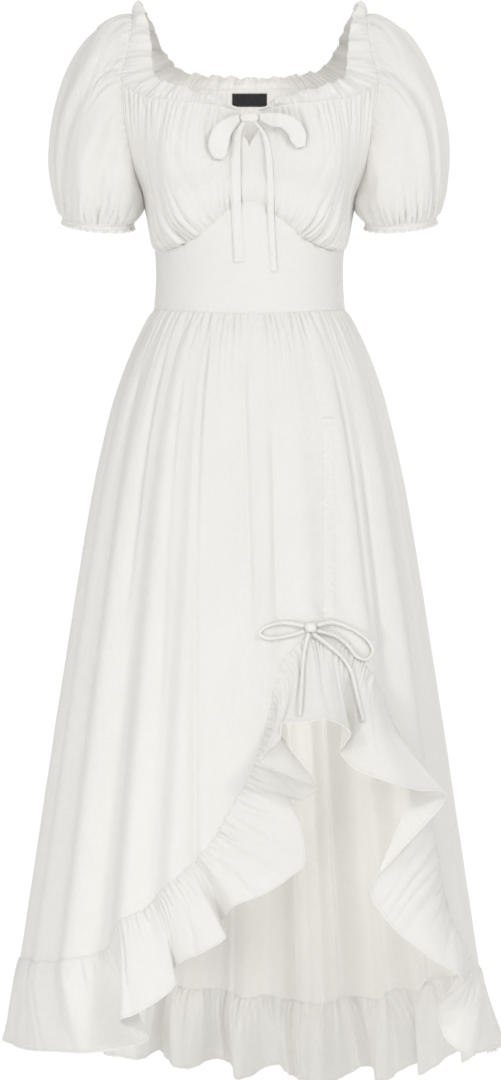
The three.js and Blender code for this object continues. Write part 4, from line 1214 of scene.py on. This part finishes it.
# The bare black label inside the back of the neck
labelFinish = {
    "thread": 0.0004,
    "colour": (0.012, 0.012, 0.014),
    "slubColour": (0.022, 0.022, 0.025),
    "roughness": 0.55,
    "sheen": 0.1,
    "stitchPitch": 0.0022,
    "stitchColour": (0.05, 0.05, 0.055),
}
labelCloth = wovenCloth("labelSatin", (0.0012, 0.0148), finish=labelFinish)
labelSize = {"halfWidth": 22, "top": -88, "bottom": -104, "clear": 0.8, "bow": 0.5}
backTrees = sight(("bodice_back",))


def labelShape(u, v):
    x = mix(-labelSize["halfWidth"], labelSize["halfWidth"], u)
    z = mix(labelSize["top"], labelSize["bottom"], v)
    y = foremostAll(backTrees, x, z, origin=1)
    return spot(x, y - labelSize["clear"] - labelSize["bow"] * np.sin(np.pi * u) * np.sin(np.pi * v), z)


replaceCloth(
    "neck_label", 44, 16, labelShape, (0.044, 0.016), labelCloth, held="laid", restsOn=("bodice_back_cloth",),
    slot="black_label", thick=0.6,
)


print("studio")
studioSettings = {
    "floorRadius": 3.3, "floorDrop": 1.75, "floorGrey": 0.86, "floorRoughness": 0.8,
    "ambient": 0.665, "backdrop": 0.355,
}
floorBuild = bmesh.new()
bmesh.ops.create_circle(floorBuild, cap_ends=True, segments=96, radius=studioSettings["floorRadius"])
bmesh.ops.translate(floorBuild, verts=floorBuild.verts, vec=(0, 0, -studioSettings["floorDrop"]))
floorMesh = bpy.data.meshes.new("floor")
floorBuild.to_mesh(floorMesh)
floorBuild.free()
floor = bpy.data.objects.new("floor", floorMesh)
bpy.context.scene.collection.objects.link(floor)
floorPaint = bpy.data.materials.new("floorPaint")
floorPaint.use_nodes = True
floorShader = floorPaint.node_tree.nodes["Principled BSDF"]
floorShader.inputs["Base Color"].default_value = (*[studioSettings["floorGrey"]] * 3, 1)
floorShader.inputs["Roughness"].default_value = studioSettings["floorRoughness"]
floorMesh.materials.append(floorPaint)

world = bpy.data.worlds.new("studio")
bpy.context.scene.world = world
world.use_nodes = True
background = world.node_tree.nodes["Background"]
seen = Wire(world.node_tree, None).node("ShaderNodeLightPath", out="Is Camera Ray")
strength = studioSettings["ambient"] + seen * studioSettings["backdrop"]
world.node_tree.links.new(strength.socket, background.inputs["Strength"])
background.inputs["Color"].default_value = (1, 1, 1, 1)


def softLight(name, place, target, size, watts):
    data = bpy.data.lights.new(name, "AREA")
    data.shape = "DISK"
    data.size = size
    data.energy = watts
    data.spread = math.radians(180)
    lamp = bpy.data.objects.new(name, data)
    lamp.location = place
    lamp.visible_camera = False
    lamp.rotation_euler = (Vector(target) - Vector(place)).to_track_quat("-Z", "Y").to_euler()
    bpy.context.scene.collection.objects.link(lamp)


# Three soft lights in front, one behind, and two small ones inside the skirt and the collar
softLight("key", place=(2.5, -3.5, 1.6), target=(0, 0, -0.7), size=1.0, watts=46)
softLight("fill", place=(-2.2, -3.7, 0.9), target=(0, 0, -0.8), size=1.3, watts=21)
softLight("low", place=(-0.9, -2.4, -1.6), target=(0.03, 0.2, -1.1), size=0.4, watts=10)
softLight("behind", place=(1.8, 4.0, 1.5), target=(0, 0, -0.7), size=1.3, watts=56)
softLight("hollow", place=(-0.12, -0.06, -0.8), target=(0.08, 0.22, -1.28), size=0.14, watts=0.68)
softLight("collar", place=(0, -0.02, -0.165), target=(0, -0.015, 0), size=0.12, watts=0.125)
